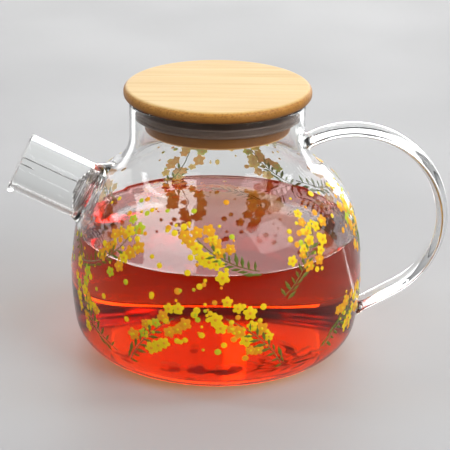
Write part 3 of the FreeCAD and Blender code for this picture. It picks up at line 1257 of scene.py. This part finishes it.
@dataclass
class Tea:
    """Tea in the pot, out to the middle of the glass wall, so that no air lies between the two."""

    pot: PotShape
    level: float = 0.059
    climb: float = 0.0012
    climb_reach: float = 0.0013
    brim: float = 0.006
    side_rows: int = 90
    top_rows: int = 24
    columns: int = 192

    def shape(self) -> Shape:
        """Build the tea: the wall's middle face, and a flat top that climbs at the glass.

        The climb falls off with the exponential of the distance from the wall.

        Returns:
            The closed surface.
        """
        wall = self.pot.face(self.pot.wall / 2)
        top_place = float(wall.place_at(self.level + self.climb))
        places = np.linspace(0, top_place, self.side_rows)
        side = np.stack(wall.profile(places), axis=-1)
        edge = side[-1, 0]
        inwards = np.concatenate([
            np.linspace(0, self.brim, self.top_rows)[1:],
            np.linspace(self.brim, edge, self.top_rows)[1:],
        ])
        climb = self.climb * np.exp(-inwards / self.climb_reach)
        top = np.stack([edge - inwards, self.level + climb], axis=-1)
        return turned_solid(np.concatenate([side, top]), self.columns)

    def build(self) -> Piece:
        """Make the tea and dress it."""
        return add_piece(self.shape(), "tea_fill", RedTea(), Body.POT, Slot.TEA)


# Print


@dataclass
class Motif:
    """Flat closed patch of print: points beside, along and above, faces, and which faces lie below."""

    points: Array
    triangles: Array
    below: Array


class Palette(Enum):
    """Colours of the print: its front, and its back as it shows through the glass: a paler base coat,
    lightened further as painted light for the little light that reaches it inside the pot.
    """

    # Each back colour is paler than its front: partly a base coat, partly painted light.
    YELLOW = ((0.96, 0.76, 0.006), (0.92, 0.72, 0.36))
    GOLD = ((0.90, 0.43, 0.010), (0.90, 0.60, 0.28))
    LIME = ((0.56, 0.70, 0.02), (0.75, 0.74, 0.33))
    LEAF = ((0.125, 0.20, 0.022), (0.25, 0.30, 0.12))
    TWIG = ((0.16, 0.17, 0.03), (0.17, 0.18, 0.08))


Batch = tuple[Motif, Array, Array, list[Palette]]
BLOSSOM_PAINTS = [Palette.YELLOW] * 5 + [Palette.GOLD] * 3 + [Palette.LIME]
BUD_PAINTS = [Palette.YELLOW] * 4 + [Palette.GOLD] * 2 + [Palette.LIME]


def turned(beside: Array, along: Array, turn: Array) -> tuple[Array, Array]:
    """Distances beside and along, turned anticlockwise."""
    cosine, sine = np.cos(turn), np.sin(turn)
    return beside * cosine - along * sine, beside * sine + along * cosine


def by_turns(count: int) -> Array:
    """The two sides of a twig by turns, as -1 and 1."""
    return np.where(np.arange(count) % 2, 1, -1)


@dataclass
class Sprays:
    """Bent twigs that lean on the pot's wall, with one value in each array for each twig."""

    angle: Array
    way: Array
    radius: Array
    lean: Array
    bend: Array
    length: Array

    def along(self, share: Array, offset: Array) -> tuple[Array, Array, Array]:
        """Places at shares of each twig, offset to its side.

        The heading turns evenly along a twig, so the way beside goes with the square of the way from
        its middle. The whole twig is then turned by its lean.

        Args:
            share: How far along, 0 at one end and 1 at the other.
            offset: Distances to the side.

        Returns:
            Angles round the pot, ways up the profile, and headings from straight up.
        """
        bend, length, lean = self.bend[:, None], self.length[:, None], self.lean[:, None]
        heading = bend * (share - 0.5)
        beside = length * bend * (share - 0.5) ** 2 / 2 + offset * np.cos(heading)
        along = length * (share - 0.5) - offset * np.sin(heading)
        sideways, upwards = turned(beside, along, lean)
        angle = self.angle[:, None] + sideways / self.radius[:, None]
        return angle, self.way[:, None] + upwards, heading + lean


@dataclass
class Print:
    """Floral print fired on the pot: sprays of blossoms, buds, leaves and twigs in two bands.

    Sprays are counted round from the handle's side, and the first one stands first_spray steps on.
    """

    pot: PotShape
    axis: SpoutAxis
    band_heights: Pair = (0.031, 0.066)
    height_jitter: float = 0.004
    sprays_in_band: int = 9
    first_spray: float = 0.2
    spray_jitter: float = 0.1
    leans: Pair = (0.5, 1.25)
    bends: Pair = (0.5, 1.1)
    twig_length: float = 0.036
    twig_stretch: Pair = (0.85, 1.15)
    twig_width: float = 0.0005
    twig_shares: Pair = (-0.15, 0.9)
    twig_cuts: int = 14
    twig_crown: float = 0.8
    twig_keel: float = 1.5
    blossoms: int = 13
    blossom_shares: Pair = (0.32, 1.02)
    blossom_jitter: float = 0.03
    blossom_offsets: Pair = (0.0012, 0.0076)
    blossom_sizes: Pair = (0.0023, 0.0036)
    petals: int = 5
    petal_notch: float = 0.70
    eye_size: float = 0.26
    eye_rise: float = 1.7
    buds: int = 28
    bud_start: float = 0.25
    bud_span: float = 1.05
    bud_gather: float = 0.8
    bud_spread: float = 0.0085
    bud_sizes: Pair = (0.0006, 0.0017)
    leaves: int = 16
    leaf_shares: Pair = (-0.12, 0.62)
    leaf_sizes: Pair = (0.0020, 0.0034)
    leaf_width: float = 0.30
    leaf_reach: float = 0.75
    leaf_lean: float = 0.75
    rise: float = 0.00009
    crown: float = 0.85
    sink: float = 0.00004
    stacking: float = 0.35
    lowest: float = 0.013
    highest: float = 0.091
    spout_clearance: float = 0.0195
    weld_clearance: float = 0.0135
    seed: int = 11

    def patch(self, outline: Array, shoulder: float) -> Motif:
        """Thin lens on an outline: a crowned top, a rim just in the glass and a flat back.

        Args:
            outline: Points of the rim, as distances beside and along, anticlockwise.
            shoulder: Share of the outline at which the top is nearly at its full rise.

        Returns:
            The patch: middle of the top, its shoulder ring, its rim and the middle of the back.
        """
        count = len(outline)
        flat = np.concatenate([[[0, 0]], outline * shoulder, outline, [[0, 0]]])
        rises = [[self.rise], np.full(count, self.crown * self.rise), np.full(count + 1, -self.sink)]
        inner = 1 + np.arange(count)
        rim = inner + count
        next_rim = np.roll(rim, -1)
        triangles = np.concatenate([
            fan(inner, 0),
            np.stack([inner, rim, next_rim], axis=-1),
            np.stack([inner, next_rim, np.roll(inner, -1)], axis=-1),
            fan(rim[::-1], 2 * count + 1),
        ])
        below = np.arange(len(triangles)) >= len(triangles) - count
        return Motif(np.column_stack([flat, np.concatenate(rises)]), triangles, below)

    def blossom(self) -> Motif:
        """Rounded petals: three points for each, one of them in the notch between petals.

        Returns:
            The motif, one unit in radius.
        """
        turn = np.linspace(0, FULL_TURN, 3 * self.petals, endpoint=False)
        reach = np.tile([self.petal_notch, 1.0, 1.0], self.petals)
        outline = np.stack([reach * np.cos(turn), reach * np.sin(turn)], axis=-1)
        return self.patch(outline, shoulder=0.86)

    def bud(self) -> Motif:
        """Round dot, one unit in radius."""
        turn = np.linspace(0, FULL_TURN, 11, endpoint=False)
        return self.patch(np.stack([np.cos(turn), np.sin(turn)], axis=-1), shoulder=0.8)

    def leaf(self) -> Motif:
        """Slender pointed leaf: its length goes with a cosine and its half width with the sine cubed.

        Returns:
            The motif, one unit in half length.
        """
        turn = np.linspace(0, FULL_TURN, 8, endpoint=False)
        outline = np.stack([self.leaf_width * np.sin(turn) ** 3, np.cos(turn)], axis=-1)
        return self.patch(outline[::-1], shoulder=0.7)

    def lay(self, motif: Motif, angle: Array, way: Array, turn: Array,
            size: Array) -> tuple[Array, Array]:
        """Points of copies of a motif on the pot, and which copies stay clear of spout, weld and ends.

        Each copy is turned, scaled and wrapped on the wall, a little higher than the one before it.

        Args:
            motif: What is copied.
            angle: Angle round the pot of each copy.
            way: Way up the profile of each copy.
            turn: Turn of each copy on the wall.
            size: Scale of each copy.

        Returns:
            Points as copies, points and coordinates, and one truth value for each copy.
        """
        wall = self.pot.face(0)
        angle, way, turn, size = [values.reshape(-1, 1) for values in (angle, way, turn, size)]
        beside, along = turned(motif.points[:, 0], motif.points[:, 1], turn)
        ways = way + size * along
        radius = np.interp(ways, wall.lengths, wall.radii)
        angles = angle + size * beside / radius
        lift = 1 + self.stacking * np.linspace(0, 1, len(angle))[:, None]
        rise = motif.points[:, 2]
        points = wall.wrap(angles, ways, rise * np.where(rise > 0, lift, 1))
        return points, self.clear(points)

    def clear(self, points: Array) -> Array:
        """Which copies lie within the print's heights, clear of the spout's root and the lower weld.

        Args:
            points: Points as copies, points and coordinates.

        Returns:
            One truth value for each copy.
        """
        offset = points - self.axis.origin
        station = offset @ self.axis.direction
        from_axis = np.linalg.norm(offset - station[..., None] * self.axis.direction, axis=-1)
        near_spout = (from_axis < self.spout_clearance) & (station > 0)
        weld = np.array([float(self.pot.face(0).radius_at(LOWER_WELD)), 0, LOWER_WELD])
        near_weld = np.linalg.norm(points - weld, axis=-1) < self.weld_clearance
        high = points[..., 2] > self.highest
        low = points[..., 2] < self.lowest
        return ~(near_spout | near_weld | high | low).any(axis=1)

    def add(self, name: str, batches: list[Batch]) -> Piece:
        """Make one printed piece from batches of copies.

        Args:
            name: The piece's name.
            batches: Motif, points of its copies, which of them stay, and the colour of each copy.

        Returns:
            The new object.
        """
        points, triangles, colours = [], [], []
        start = 0
        for motif, copies, stay, paints in batches:
            fronts, backs_with_painted_light = np.array([paint.value for paint in paints])[stay].swapaxes(0, 1)
            kept = copies[stay]
            count = kept.shape[1]
            numbers = start + count * np.arange(len(kept))[:, None, None] + motif.triangles
            # The faces below take the back's colour, lightened as painted light.
            face_colours = np.where(motif.below[None, :, None], backs_with_painted_light[:, None, :], fronts[:, None, :])
            points.append(kept.reshape(-1, 3))
            triangles.append(numbers.reshape(-1, 3))
            colours.append(np.repeat(face_colours.reshape(-1, 3), 3, axis=0))
            start += count * len(kept)
        shape = Shape(np.concatenate(points), np.empty((0, 4), int), np.concatenate(triangles))
        finish = FiredPrint()
        piece = add_piece(shape, name, finish, Body.POT, Slot.PRINT, sharp_degrees=80)
        layer = piece.data.color_attributes.new(finish.attribute, "FLOAT_COLOR", "CORNER")
        paint = np.concatenate(colours)
        opaque = np.column_stack([paint, np.ones(len(paint))]).astype(np.float32)
        layer.data.foreach_set("color", opaque.ravel())
        return piece

    def sprays(self, draw: np.random.Generator) -> Sprays:
        """Draw the twigs: evenly round each band, the second band half a step on, each a little off.

        Args:
            draw: Source of the random draws.

        Returns:
            The twigs.
        """
        wall = self.pot.face(0)
        bands = len(self.band_heights)
        count = bands * self.sprays_in_band
        band = np.repeat(np.arange(bands), self.sprays_in_band)
        step = FULL_TURN / self.sprays_in_band
        order = np.tile(np.arange(self.sprays_in_band), bands) + 0.5 * band + self.first_spray
        angle = step * (order + draw.uniform(-self.spray_jitter, self.spray_jitter, count))
        heights = np.array(self.band_heights)[band]
        heights = heights + draw.uniform(-self.height_jitter, self.height_jitter, count)
        way = np.interp(wall.place_at(heights), wall.places, wall.lengths)
        radius = np.interp(way, wall.lengths, wall.radii)
        lean = by_turns(count) * draw.uniform(*self.leans, count)
        bend = np.where(draw.random(count) < 0.5, 1, -1) * draw.uniform(*self.bends, count)
        length = self.twig_length * draw.uniform(*self.twig_stretch, count)
        return Sprays(angle, way, radius, lean, bend, length)

    def print_blossoms(self, sprays: Sprays, draw: np.random.Generator) -> Piece:
        """Make the blossoms with their eyes, by turns on both sides of each twig's upper part.

        Args:
            sprays: The twigs.
            draw: Source of the random draws.

        Returns:
            The new object.
        """
        grid = (len(sprays.angle), self.blossoms)
        jitter = draw.uniform(-self.blossom_jitter, self.blossom_jitter, grid)
        share = np.linspace(*self.blossom_shares, self.blossoms) + jitter
        offset = by_turns(self.blossoms) * draw.uniform(*self.blossom_offsets, grid)
        angle, way, _ = sprays.along(share, offset)
        size = draw.uniform(*self.blossom_sizes, angle.size)
        turn = draw.uniform(0, FULL_TURN, angle.size)
        paints = draw.choice(BLOSSOM_PAINTS, angle.size).tolist()
        petals = self.blossom()
        petal_points, petal_stay = self.lay(petals, angle, way, turn, size)
        dot = self.bud()
        eyes = Motif(dot.points * [1, 1, self.eye_rise], dot.triangles, dot.below)
        eye_points, eye_stay = self.lay(eyes, angle, way, turn, self.eye_size * size)
        eye_paints = [Palette.YELLOW if paint is Palette.GOLD else Palette.GOLD for paint in paints]
        return self.add("print_blossoms", [
            (petals, petal_points, petal_stay, paints),
            (eyes, eye_points, eye_stay & petal_stay, eye_paints),
        ])

    def print_buds(self, sprays: Sprays, draw: np.random.Generator) -> Piece:
        """Make the buds, which gather at each twig's tip and stray around it.

        Args:
            sprays: The twigs.
            draw: Source of the random draws.

        Returns:
            The new object.
        """
        grid = (len(sprays.angle), self.buds)
        share = self.bud_start + self.bud_span * draw.random(grid) ** self.bud_gather
        offset = draw.normal(0, self.bud_spread, grid)
        angle, way, _ = sprays.along(share, offset)
        size = draw.uniform(*self.bud_sizes, angle.size)
        paints = draw.choice(BUD_PAINTS, angle.size).tolist()
        dot = self.bud()
        points, stay = self.lay(dot, angle, way, 0 * size, size)
        return self.add("print_buds", [(dot, points, stay, paints)])

    def print_leaves(self, sprays: Sprays, draw: np.random.Generator) -> Piece:
        """Make the leaves, by turns on both sides of each twig's lower part, and the twigs.

        Args:
            sprays: The twigs.
            draw: Source of the random draws.

        Returns:
            The new object.
        """
        count = len(sprays.angle)
        side = by_turns(self.leaves)
        # Leaves keep even shares: the zero holds a draw in its place in the order.
        share = np.linspace(*self.leaf_shares, self.leaves) + 0 * draw.random((count, 1))
        size = draw.uniform(*self.leaf_sizes, (count, self.leaves))
        angle, way, heading = sprays.along(share, side * self.leaf_reach * size)
        leaf = self.leaf()
        points, stay = self.lay(leaf, angle, way, heading - side * self.leaf_lean, size)
        return self.add("print_leaves", [
            (leaf, points, stay, [Palette.LEAF] * stay.size),
            self.twigs(sprays),
        ])

    def twigs(self, sprays: Sprays) -> Batch:
        """Thin strips along the twigs, cut into short lengths so that a strip can stop at the spout.

        A strip's section has four points: its crown, its two rims just in the glass, and its keel.

        Args:
            sprays: The twigs.

        Returns:
            The motif of one length, the points of every length, which of them stay, and their colours.
        """
        wall = self.pot.face(0)
        cuts = self.twig_cuts + 1
        ends = np.linspace(*self.twig_shares, cuts)
        half = self.twig_width / 2
        offsets = np.array([0, half, 0, -half])
        keel = -self.twig_keel * self.sink
        rises = np.array([self.twig_crown * self.rise, -self.sink, keel, -self.sink])
        angle, way, _ = sprays.along(np.repeat(ends, 4)[None, :], np.tile(offsets, cuts)[None, :])
        points = wall.wrap(angle, way, np.tile(rises, cuts) + 0 * way).reshape(len(angle), cuts, 4, 3)
        lengths = np.concatenate([points[:, :-1], points[:, 1:]], axis=2).reshape(-1, 8, 3)
        quads = np.concatenate([grid_quads(2, 4)[:, ::-1], [[0, 1, 2, 3], [7, 6, 5, 4]]])
        triangles = np.concatenate([quads[:, [0, 1, 2]], quads[:, [0, 2, 3]]])
        below = np.isin(triangles, [2, 6]).any(axis=1)
        motif = Motif(lengths[0], triangles, below)
        return motif, lengths, self.clear(lengths), [Palette.TWIG] * len(lengths)

    def build(self) -> list[Piece]:
        """Make the three printed pieces, with one run of random draws for all of them.

        Returns:
            The blossoms, the buds, and the leaves with their twigs.
        """
        draw = np.random.default_rng(self.seed)
        sprays = self.sprays(draw)
        makers = (self.print_blossoms, self.print_buds, self.print_leaves)
        return [make(sprays, draw) for make in makers]


# Lid


@dataclass
class Lid:
    """Bamboo board, a grooved bamboo plug under it, and a silicone ring with two ribs in the groove."""

    board_top_round: float = 0.0024
    board_under_round: float = 0.002
    plug_edge_round: float = 0.001
    plug_radius: float = 0.03425
    groove_floor: float = 0.03155
    rib_height: float = 0.0011
    rib_width: float = 0.0013
    columns: int = 192
    # Painted shade: pale and tan are near-black for the shade under the board, where the plug's side
    # shows through the neck; its lower edge and underside keep a pale wood colour.
    plug_wood_with_painted_shade: Bamboo = Bamboo(
        pale=(0.16, 0.056, 0.003),
        tan=(0.10, 0.030, 0.002),
        edge=(0.85, 0.55, 0.26),
        under=(0.85, 0.55, 0.26),
        edge_low=0.1075,
        edge_high=0.1091,
    )

    def __post_init__(self) -> None:
        """Take the places of board, plug and seal from the frame."""
        self.board_low, self.board_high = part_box("lid_board")
        self.plug_low, self.plug_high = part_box("lid_plug")
        self.seal_low, self.seal_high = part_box("lid_seal")

    def board(self) -> Shape:
        """Turn the board's outline: flat underside, lower round, upper round and flat top.

        Returns:
            The closed surface.
        """
        radius, low, high = self.board_high.x, self.board_low.z, self.board_high.z
        under, top = self.board_under_round, self.board_top_round
        outline = [
            run_points((0, low), (radius - under, low), 12)[:-1],
            arc_points((radius - under, low + under), under, -90, 0, 12),
            arc_points((radius - top, high - top), top, 0, 90, 14),
            run_points((radius - top, high), (0, high), 24)[1:],
        ]
        return turned_solid(np.concatenate(outline), self.columns)

    def plug(self) -> Shape:
        """Turn the plug's outline: flat bottom, rounded edge, groove, and flat top under the board.

        Returns:
            The closed surface.
        """
        radius, low, high = self.plug_radius, self.plug_low.z, self.plug_high.z
        edge = self.plug_edge_round
        corners = [
            (radius, low + edge),
            (radius, self.seal_low.z),
            (self.groove_floor, self.seal_low.z),
            (self.groove_floor, self.seal_high.z),
            (radius, self.seal_high.z),
            (radius, high),
        ]
        outline = [
            run_points((0, low), (radius - edge, low), 12)[:-1],
            arc_points((radius - edge, low + edge), edge, -90, 0, 9),
            *[run_points(start, end, 5)[1:] for start, end in zip(corners, corners[1:])],
            run_points((radius, high), (0, high), 6)[1:],
        ]
        return turned_solid(np.concatenate(outline), self.columns)

    def seal(self) -> Shape:
        """Turn the ring's outline: a back in the groove, and two round-nosed ribs towards the neck.

        Returns:
            The closed surface.
        """
        tip = self.seal_high.x
        ring = tip - self.rib_height
        half = self.rib_width / 2
        low, high = self.seal_low.z, self.seal_high.z
        ribs = []
        for middle in (low + half, high - half):
            ribs.append(run_points((ring, middle - half), (tip - half, middle - half), 3)[:-1])
            ribs.append(arc_points((tip - half, middle), half, -90, 90, 9))
            ribs.append(run_points((tip - half, middle + half), (ring, middle + half), 3)[1:])
        back = run_points((self.groove_floor, high), (self.groove_floor, low), 4)
        outline = np.concatenate([*ribs, back])
        return closed_ring(turned_grid(outline, self.columns))

    def build(self) -> list[Piece]:
        """Make and dress the lid's three pieces.

        Returns:
            The board, the plug and the ring.
        """
        return [
            add_piece(self.board(), "bamboo_board", Bamboo(), Body.LID, Slot.BAMBOO, "lid_board"),
            add_piece(self.plug(), "bamboo_plug", self.plug_wood_with_painted_shade, Body.LID, Slot.BAMBOO, "lid_plug"),
            add_piece(self.seal(), "silicone_ring", Silicone(), Body.LID, Slot.SILICONE, "lid_seal"),
        ]


# Strainer


@dataclass
class Strainer:
    """One wire: close turns in the pot's hole, a wider collar, a cone of turns, a tail and a hook."""

    pot: PotShape
    axis: SpoutAxis
    wire: float = 0.0007
    turn_gap: float = 0.00046
    clearance: float = 0.0003
    hole_radius: float = SPOUT_HOLE
    bore: float = SPOUT_BORE
    close_turns: float = 6
    widening_turns: float = 0.75
    collar_turns: float = 1.25
    cone_turns: float = 4
    cone_pitch: float = 0.00095
    cone_end_radius: float = 0.0024
    tail_rise: float = 0.0022
    tail_bend: float = 0.004
    bend_pull: float = 1.3
    hook_setback: float = 0.0006
    hook_radius: float = 0.0017
    hook_leg: float = 0.005
    end_share: float = 0.7
    points_in_turn: int = 56
    bend_points: int = 25
    tail_points: int = 30
    hook_points: int = 24
    leg_points: int = 10
    sides: int = 12

    def coil(self) -> tuple[Array, Array]:
        """Middle line of the turns and the way out from the spout's axis, from the pot to the tail.

        Radius and station go straight with the turn: level, widening, level at the collar, closing in.

        Returns:
            The points and the ways out.
        """
        pitch = self.wire + self.turn_gap
        slack = self.clearance + self.wire / 2
        collar_from = self.close_turns + self.widening_turns
        cone_from = collar_from + self.collar_turns
        whole = cone_from + self.cone_turns
        turn = np.linspace(0, whole, round(self.points_in_turn * whole) + 1)
        edge_turn = np.linspace(0, FULL_TURN, EDGE_POINTS)
        ledge = self.axis.root(self.pot.face(0), lambda station: self.hole_radius, edge_turn).max()
        collar_station = ledge + slack + self.widening_turns / 2 * pitch
        bends = [0, self.close_turns, collar_from, cone_from, whole]
        hole_turn = self.hole_radius - slack
        collar_turn = self.bore - slack
        radii = [hole_turn, hole_turn, collar_turn, collar_turn, self.cone_end_radius]
        radius = np.interp(turn, bends, radii)
        close_part = (np.minimum(turn, cone_from) - collar_from) * pitch
        station = collar_station + close_part + np.maximum(turn - cone_from, 0) * self.cone_pitch
        angle = FULL_TURN * turn
        out = np.cos(angle)[:, None] * self.axis.above + np.sin(angle)[:, None] * self.axis.across
        return self.axis.round_at(station, radius, angle), out

    def middle_line(self) -> tuple[Array, Array]:
        """Middle line of the whole wire, and a way square to it at each point.

        After the coil a cubic curve bends the wire along the spout, then come the straight tail, the
        hook's half circle and its leg.

        Returns:
            The points and the ways.
        """
        axis = self.axis
        coil, coil_out = self.coil()
        end_station = float((coil[-1] - axis.origin) @ axis.direction)
        tail_start = axis.at(end_station + self.tail_bend, self.tail_rise, 0.0)
        start_way = unit(coil[-1] - coil[-2])
        pull = self.bend_pull * np.linalg.norm(tail_start - coil[-1])
        share = np.linspace(0, 1, self.bend_points)[1:, None]
        bend = (
            (2 * share ** 3 - 3 * share ** 2 + 1) * coil[-1]
            + (share ** 3 - 2 * share ** 2 + share) * pull * start_way
            + (3 * share ** 2 - 2 * share ** 3) * tail_start
            + (share ** 3 - share ** 2) * pull * axis.direction
        )
        hook_station = axis.mouth - self.hook_setback - self.hook_radius
        tail_stations = np.linspace(end_station + self.tail_bend, hook_station, self.tail_points)[1:]
        tail = axis.at(tail_stations, self.tail_rise, 0.0)
        turn = np.radians(np.linspace(0, 180, self.hook_points))[1:]
        hook = axis.at(hook_station + self.hook_radius * np.sin(turn),
                       self.tail_rise - self.hook_radius * (1 - np.cos(turn)), 0.0)
        leg_end = hook_station - self.hook_leg
        leg_stations = np.linspace(hook_station, leg_end, self.leg_points)[1:]
        leg = axis.at(leg_stations, self.tail_rise - 2 * self.hook_radius, 0.0)
        swing = np.radians(np.linspace(0, 90, len(tail)))[:, None]
        ways = [
            coil_out,
            np.tile(axis.above, (len(bend), 1)),
            np.cos(swing) * axis.above + np.sin(swing) * axis.across,
            np.tile(axis.across, (len(hook) + len(leg), 1)),
        ]
        return np.concatenate([coil, bend, tail, hook, leg]), np.concatenate(ways)

    def shape(self) -> Shape:
        """Carry a circle along the middle line, with a rounded end at each end of the wire.

        Returns:
            The closed surface.
        """
        line, out = self.middle_line()
        tangent = unit(np.gradient(line, axis=0))
        out = unit(out - (out * tangent).sum(axis=-1, keepdims=True) * tangent)
        side = np.cross(tangent, out)
        angle = np.linspace(0, FULL_TURN, self.sides, endpoint=False)[:, None]
        radius = np.full(len(line), self.wire / 2)
        radius[[0, -1]] *= self.end_share
        circle = np.cos(angle) * out[:, None, :] + np.sin(angle) * side[:, None, :]
        grid = line[:, None, :] + radius[:, None, None] * circle
        tip = self.wire / 6
        return capped(grid, line[0] - tip * tangent[0], line[-1] + tip * tangent[-1])

    def build(self) -> Piece:
        """Make the wire and dress it in steel."""
        return add_piece(self.shape(), "wire_strainer", DrawnWire(), Body.STRAINER, Slot.WIRE,
                         "spout_strainer")


# Studio


@dataclass(frozen=True)
class Softbox:
    """Flat soft lamp of one radiance, aimed at a point.

    One whose lights is False shows in glass and gloss, and throws no light on other surfaces.
    """

    name: str
    place: Place
    aim: Place
    width: float
    height: float
    radiance: float
    lights: bool = True

    def build(self) -> None:
        """Hang the lamp: its power is its radiance times its area times pi."""
        lamp = bpy.data.lights.new(self.name, "AREA")
        lamp.shape = "RECTANGLE"
        lamp.size = self.width
        lamp.size_y = self.height
        lamp.energy = self.radiance * math.pi * self.width * self.height
        box = bpy.data.objects.new(self.name, lamp)
        box.location = self.place
        way = Vector(self.aim) - Vector(self.place)
        box.rotation_euler = way.to_track_quat("-Z", "Y").to_euler()
        box.visible_camera = False
        box.visible_diffuse = self.lights
        bpy.context.scene.collection.objects.link(box)


@dataclass
class Studio:
    """Pale floor, soft boxes, a dim soft surround and the camera."""

    floor_radius: float = 8.0
    floor_middle: float = 0.05
    floor_rings: int = 24
    floor_columns: int = 96
    floor_drop: float = 0.0003
    lamps_aim: Place = (0.0, 0.0, 0.07)
    horizon: Colour = (0.45, 0.45, 0.455)
    dim: Colour = (0.16, 0.16, 0.165)
    zenith: Colour = (0.32, 0.32, 0.32)
    bounces: int = 28
    glossy_bounces: int = 10
    clear_bounces: int = 48
    camera_place: Place = (0.0, -0.750, 0.355)
    camera_pitch: float = math.radians(21.58)
    camera_yaw: float = math.radians(-0.311)
    camera_roll: float = math.radians(0.68)
    lens: float = 134.16
    sensor: float = 36.0

    def floor(self) -> None:
        """Lay a round floor just below the base: rings that grow evenly by their share."""
        columns = self.floor_columns
        rings = np.geomspace(self.floor_middle, self.floor_radius, self.floor_rings)
        profile = np.stack([rings, np.full(len(rings), -self.floor_drop)], axis=-1)[::-1]
        grid = turned_grid(profile, columns)
        points = np.concatenate([grid.reshape(-1, 3), [[0, 0, -self.floor_drop]]])
        count = len(points) - 1
        middle = fan(np.arange(count - columns, count), count)
        shape = Shape(points, grid_quads(len(rings), columns), middle)
        floor = bpy.data.objects.new("floor", shape.mesh("floor", SHARP_DEGREES))
        floor.data.materials.append(PaleFloor().material())
        bpy.context.scene.collection.objects.link(floor)

    def lamps(self) -> None:
        """Hang soft boxes behind, left, right, above and before the pot.

        The wings carry the back box on to both sides, and the cards stand beside the neck. They are
        only for the glass, which shows them.
        """
        pot = self.lamps_aim
        boxes = [
            Softbox("box_back", (0.0, 1.5, 0.80), pot, 1.5, 0.7, 1.8),
            Softbox("box_streak", (-0.085, 1.40, 0.62), pot, 0.10, 0.35, 2.6),
            Softbox("box_low", (0.3, 2.0, 0.32), pot, 2.4, 0.45, 6.0),
            Softbox("box_left", (-0.85, 0.15, 0.80), pot, 0.14, 0.9, 9.0),
            Softbox("box_right", (0.85, 0.10, 0.80), pot, 0.32, 0.9, 6.0),
            Softbox("box_top", (0.0, 0.30, 1.15), pot, 0.6, 0.5, 1.6),
            Softbox("box_key", (0.69, -0.58, 0.62), pot, 0.55, 0.75, 7.2),
            Softbox("box_fill", (-0.62, -0.80, 0.55), pot, 0.6, 0.6, 3.2),
            Softbox("wing_left", (-1.115, 1.256, 0.80), pot, 0.95, 0.7, 1.2, lights=False),
            Softbox("wing_right", (1.115, 1.256, 0.80), pot, 0.95, 0.7, 1.2, lights=False),
            Softbox("card_left", (-0.20, 0.22, 0.07), pot, 0.06, 0.13, 1.5, lights=False),
            Softbox("card_right", (0.20, 0.22, 0.07), pot, 0.06, 0.13, 1.5, lights=False),
        ]
        for box in boxes:
            box.build()

    def surround(self) -> None:
        """Wrap the scene in a dim soft surround, pale at the horizon."""
        world = bpy.data.worlds.new("surround")
        bpy.context.scene.world = world
        sheet = NodeSheet(world)
        way = sheet.add("SeparateXYZ", {0: sheet.add("TexCoord").outputs["Generated"]})
        share = sheet.spread(way.outputs[2], (-1, 1), (0, 1))
        low, middle, high = self.horizon, self.dim, self.zenith
        stops = [(0.0, low), (0.52, low), (0.66, middle), (0.80, middle), (1.0, high)]
        colour = sheet.ramp(share, stops)
        light = sheet.add("Background", {"Color": colour, "Strength": 1.0})
        sheet.add("OutputWorld", {"Surface": light.outputs[0]})

    def camera(self) -> None:
        """Stand the camera before the pot: turned by its yaw, then its pitch, then its roll."""
        data = bpy.data.cameras.new("camera")
        data.lens = self.lens
        data.sensor_width = self.sensor
        camera = bpy.data.objects.new("camera", data)
        turn = Matrix.Rotation(self.camera_yaw, 4, "Z")
        turn = turn @ Matrix.Rotation(math.pi / 2 - self.camera_pitch, 4, "X")
        turn = turn @ Matrix.Rotation(self.camera_roll, 4, "Z")
        camera.matrix_world = Matrix.Translation(self.camera_place) @ turn
        bpy.context.scene.collection.objects.link(camera)
        bpy.context.scene.camera = camera

    def build(self) -> None:
        """Set up floor, lamps, surround and camera, and how far light is followed through glass."""
        self.floor()
        self.lamps()
        self.surround()
        self.camera()
        scene = bpy.context.scene
        scene.view_settings.view_transform = "Standard"
        scene.cycles.max_bounces = self.bounces
        scene.cycles.transmission_bounces = self.bounces
        scene.cycles.glossy_bounces = self.glossy_bounces
        scene.cycles.transparent_max_bounces = self.clear_bounces
        scene.cycles.caustics_refractive = True
        scene.cycles.caustics_reflective = False


def main() -> None:
    """Build the studio and the pieces in order."""
    logging.basicConfig(level=logging.INFO, format="%(message)s")
    Studio().build()
    pot = PotShape()
    axis = SpoutAxis(pot)
    PotBody(pot, axis).build()
    Spout(pot, axis).build()
    Handle(pot).build()
    Tea(pot).build()
    Print(pot, axis).build()
    Lid().build()
    Strainer(pot, axis).build()


if __name__ == "__main__":
    main()
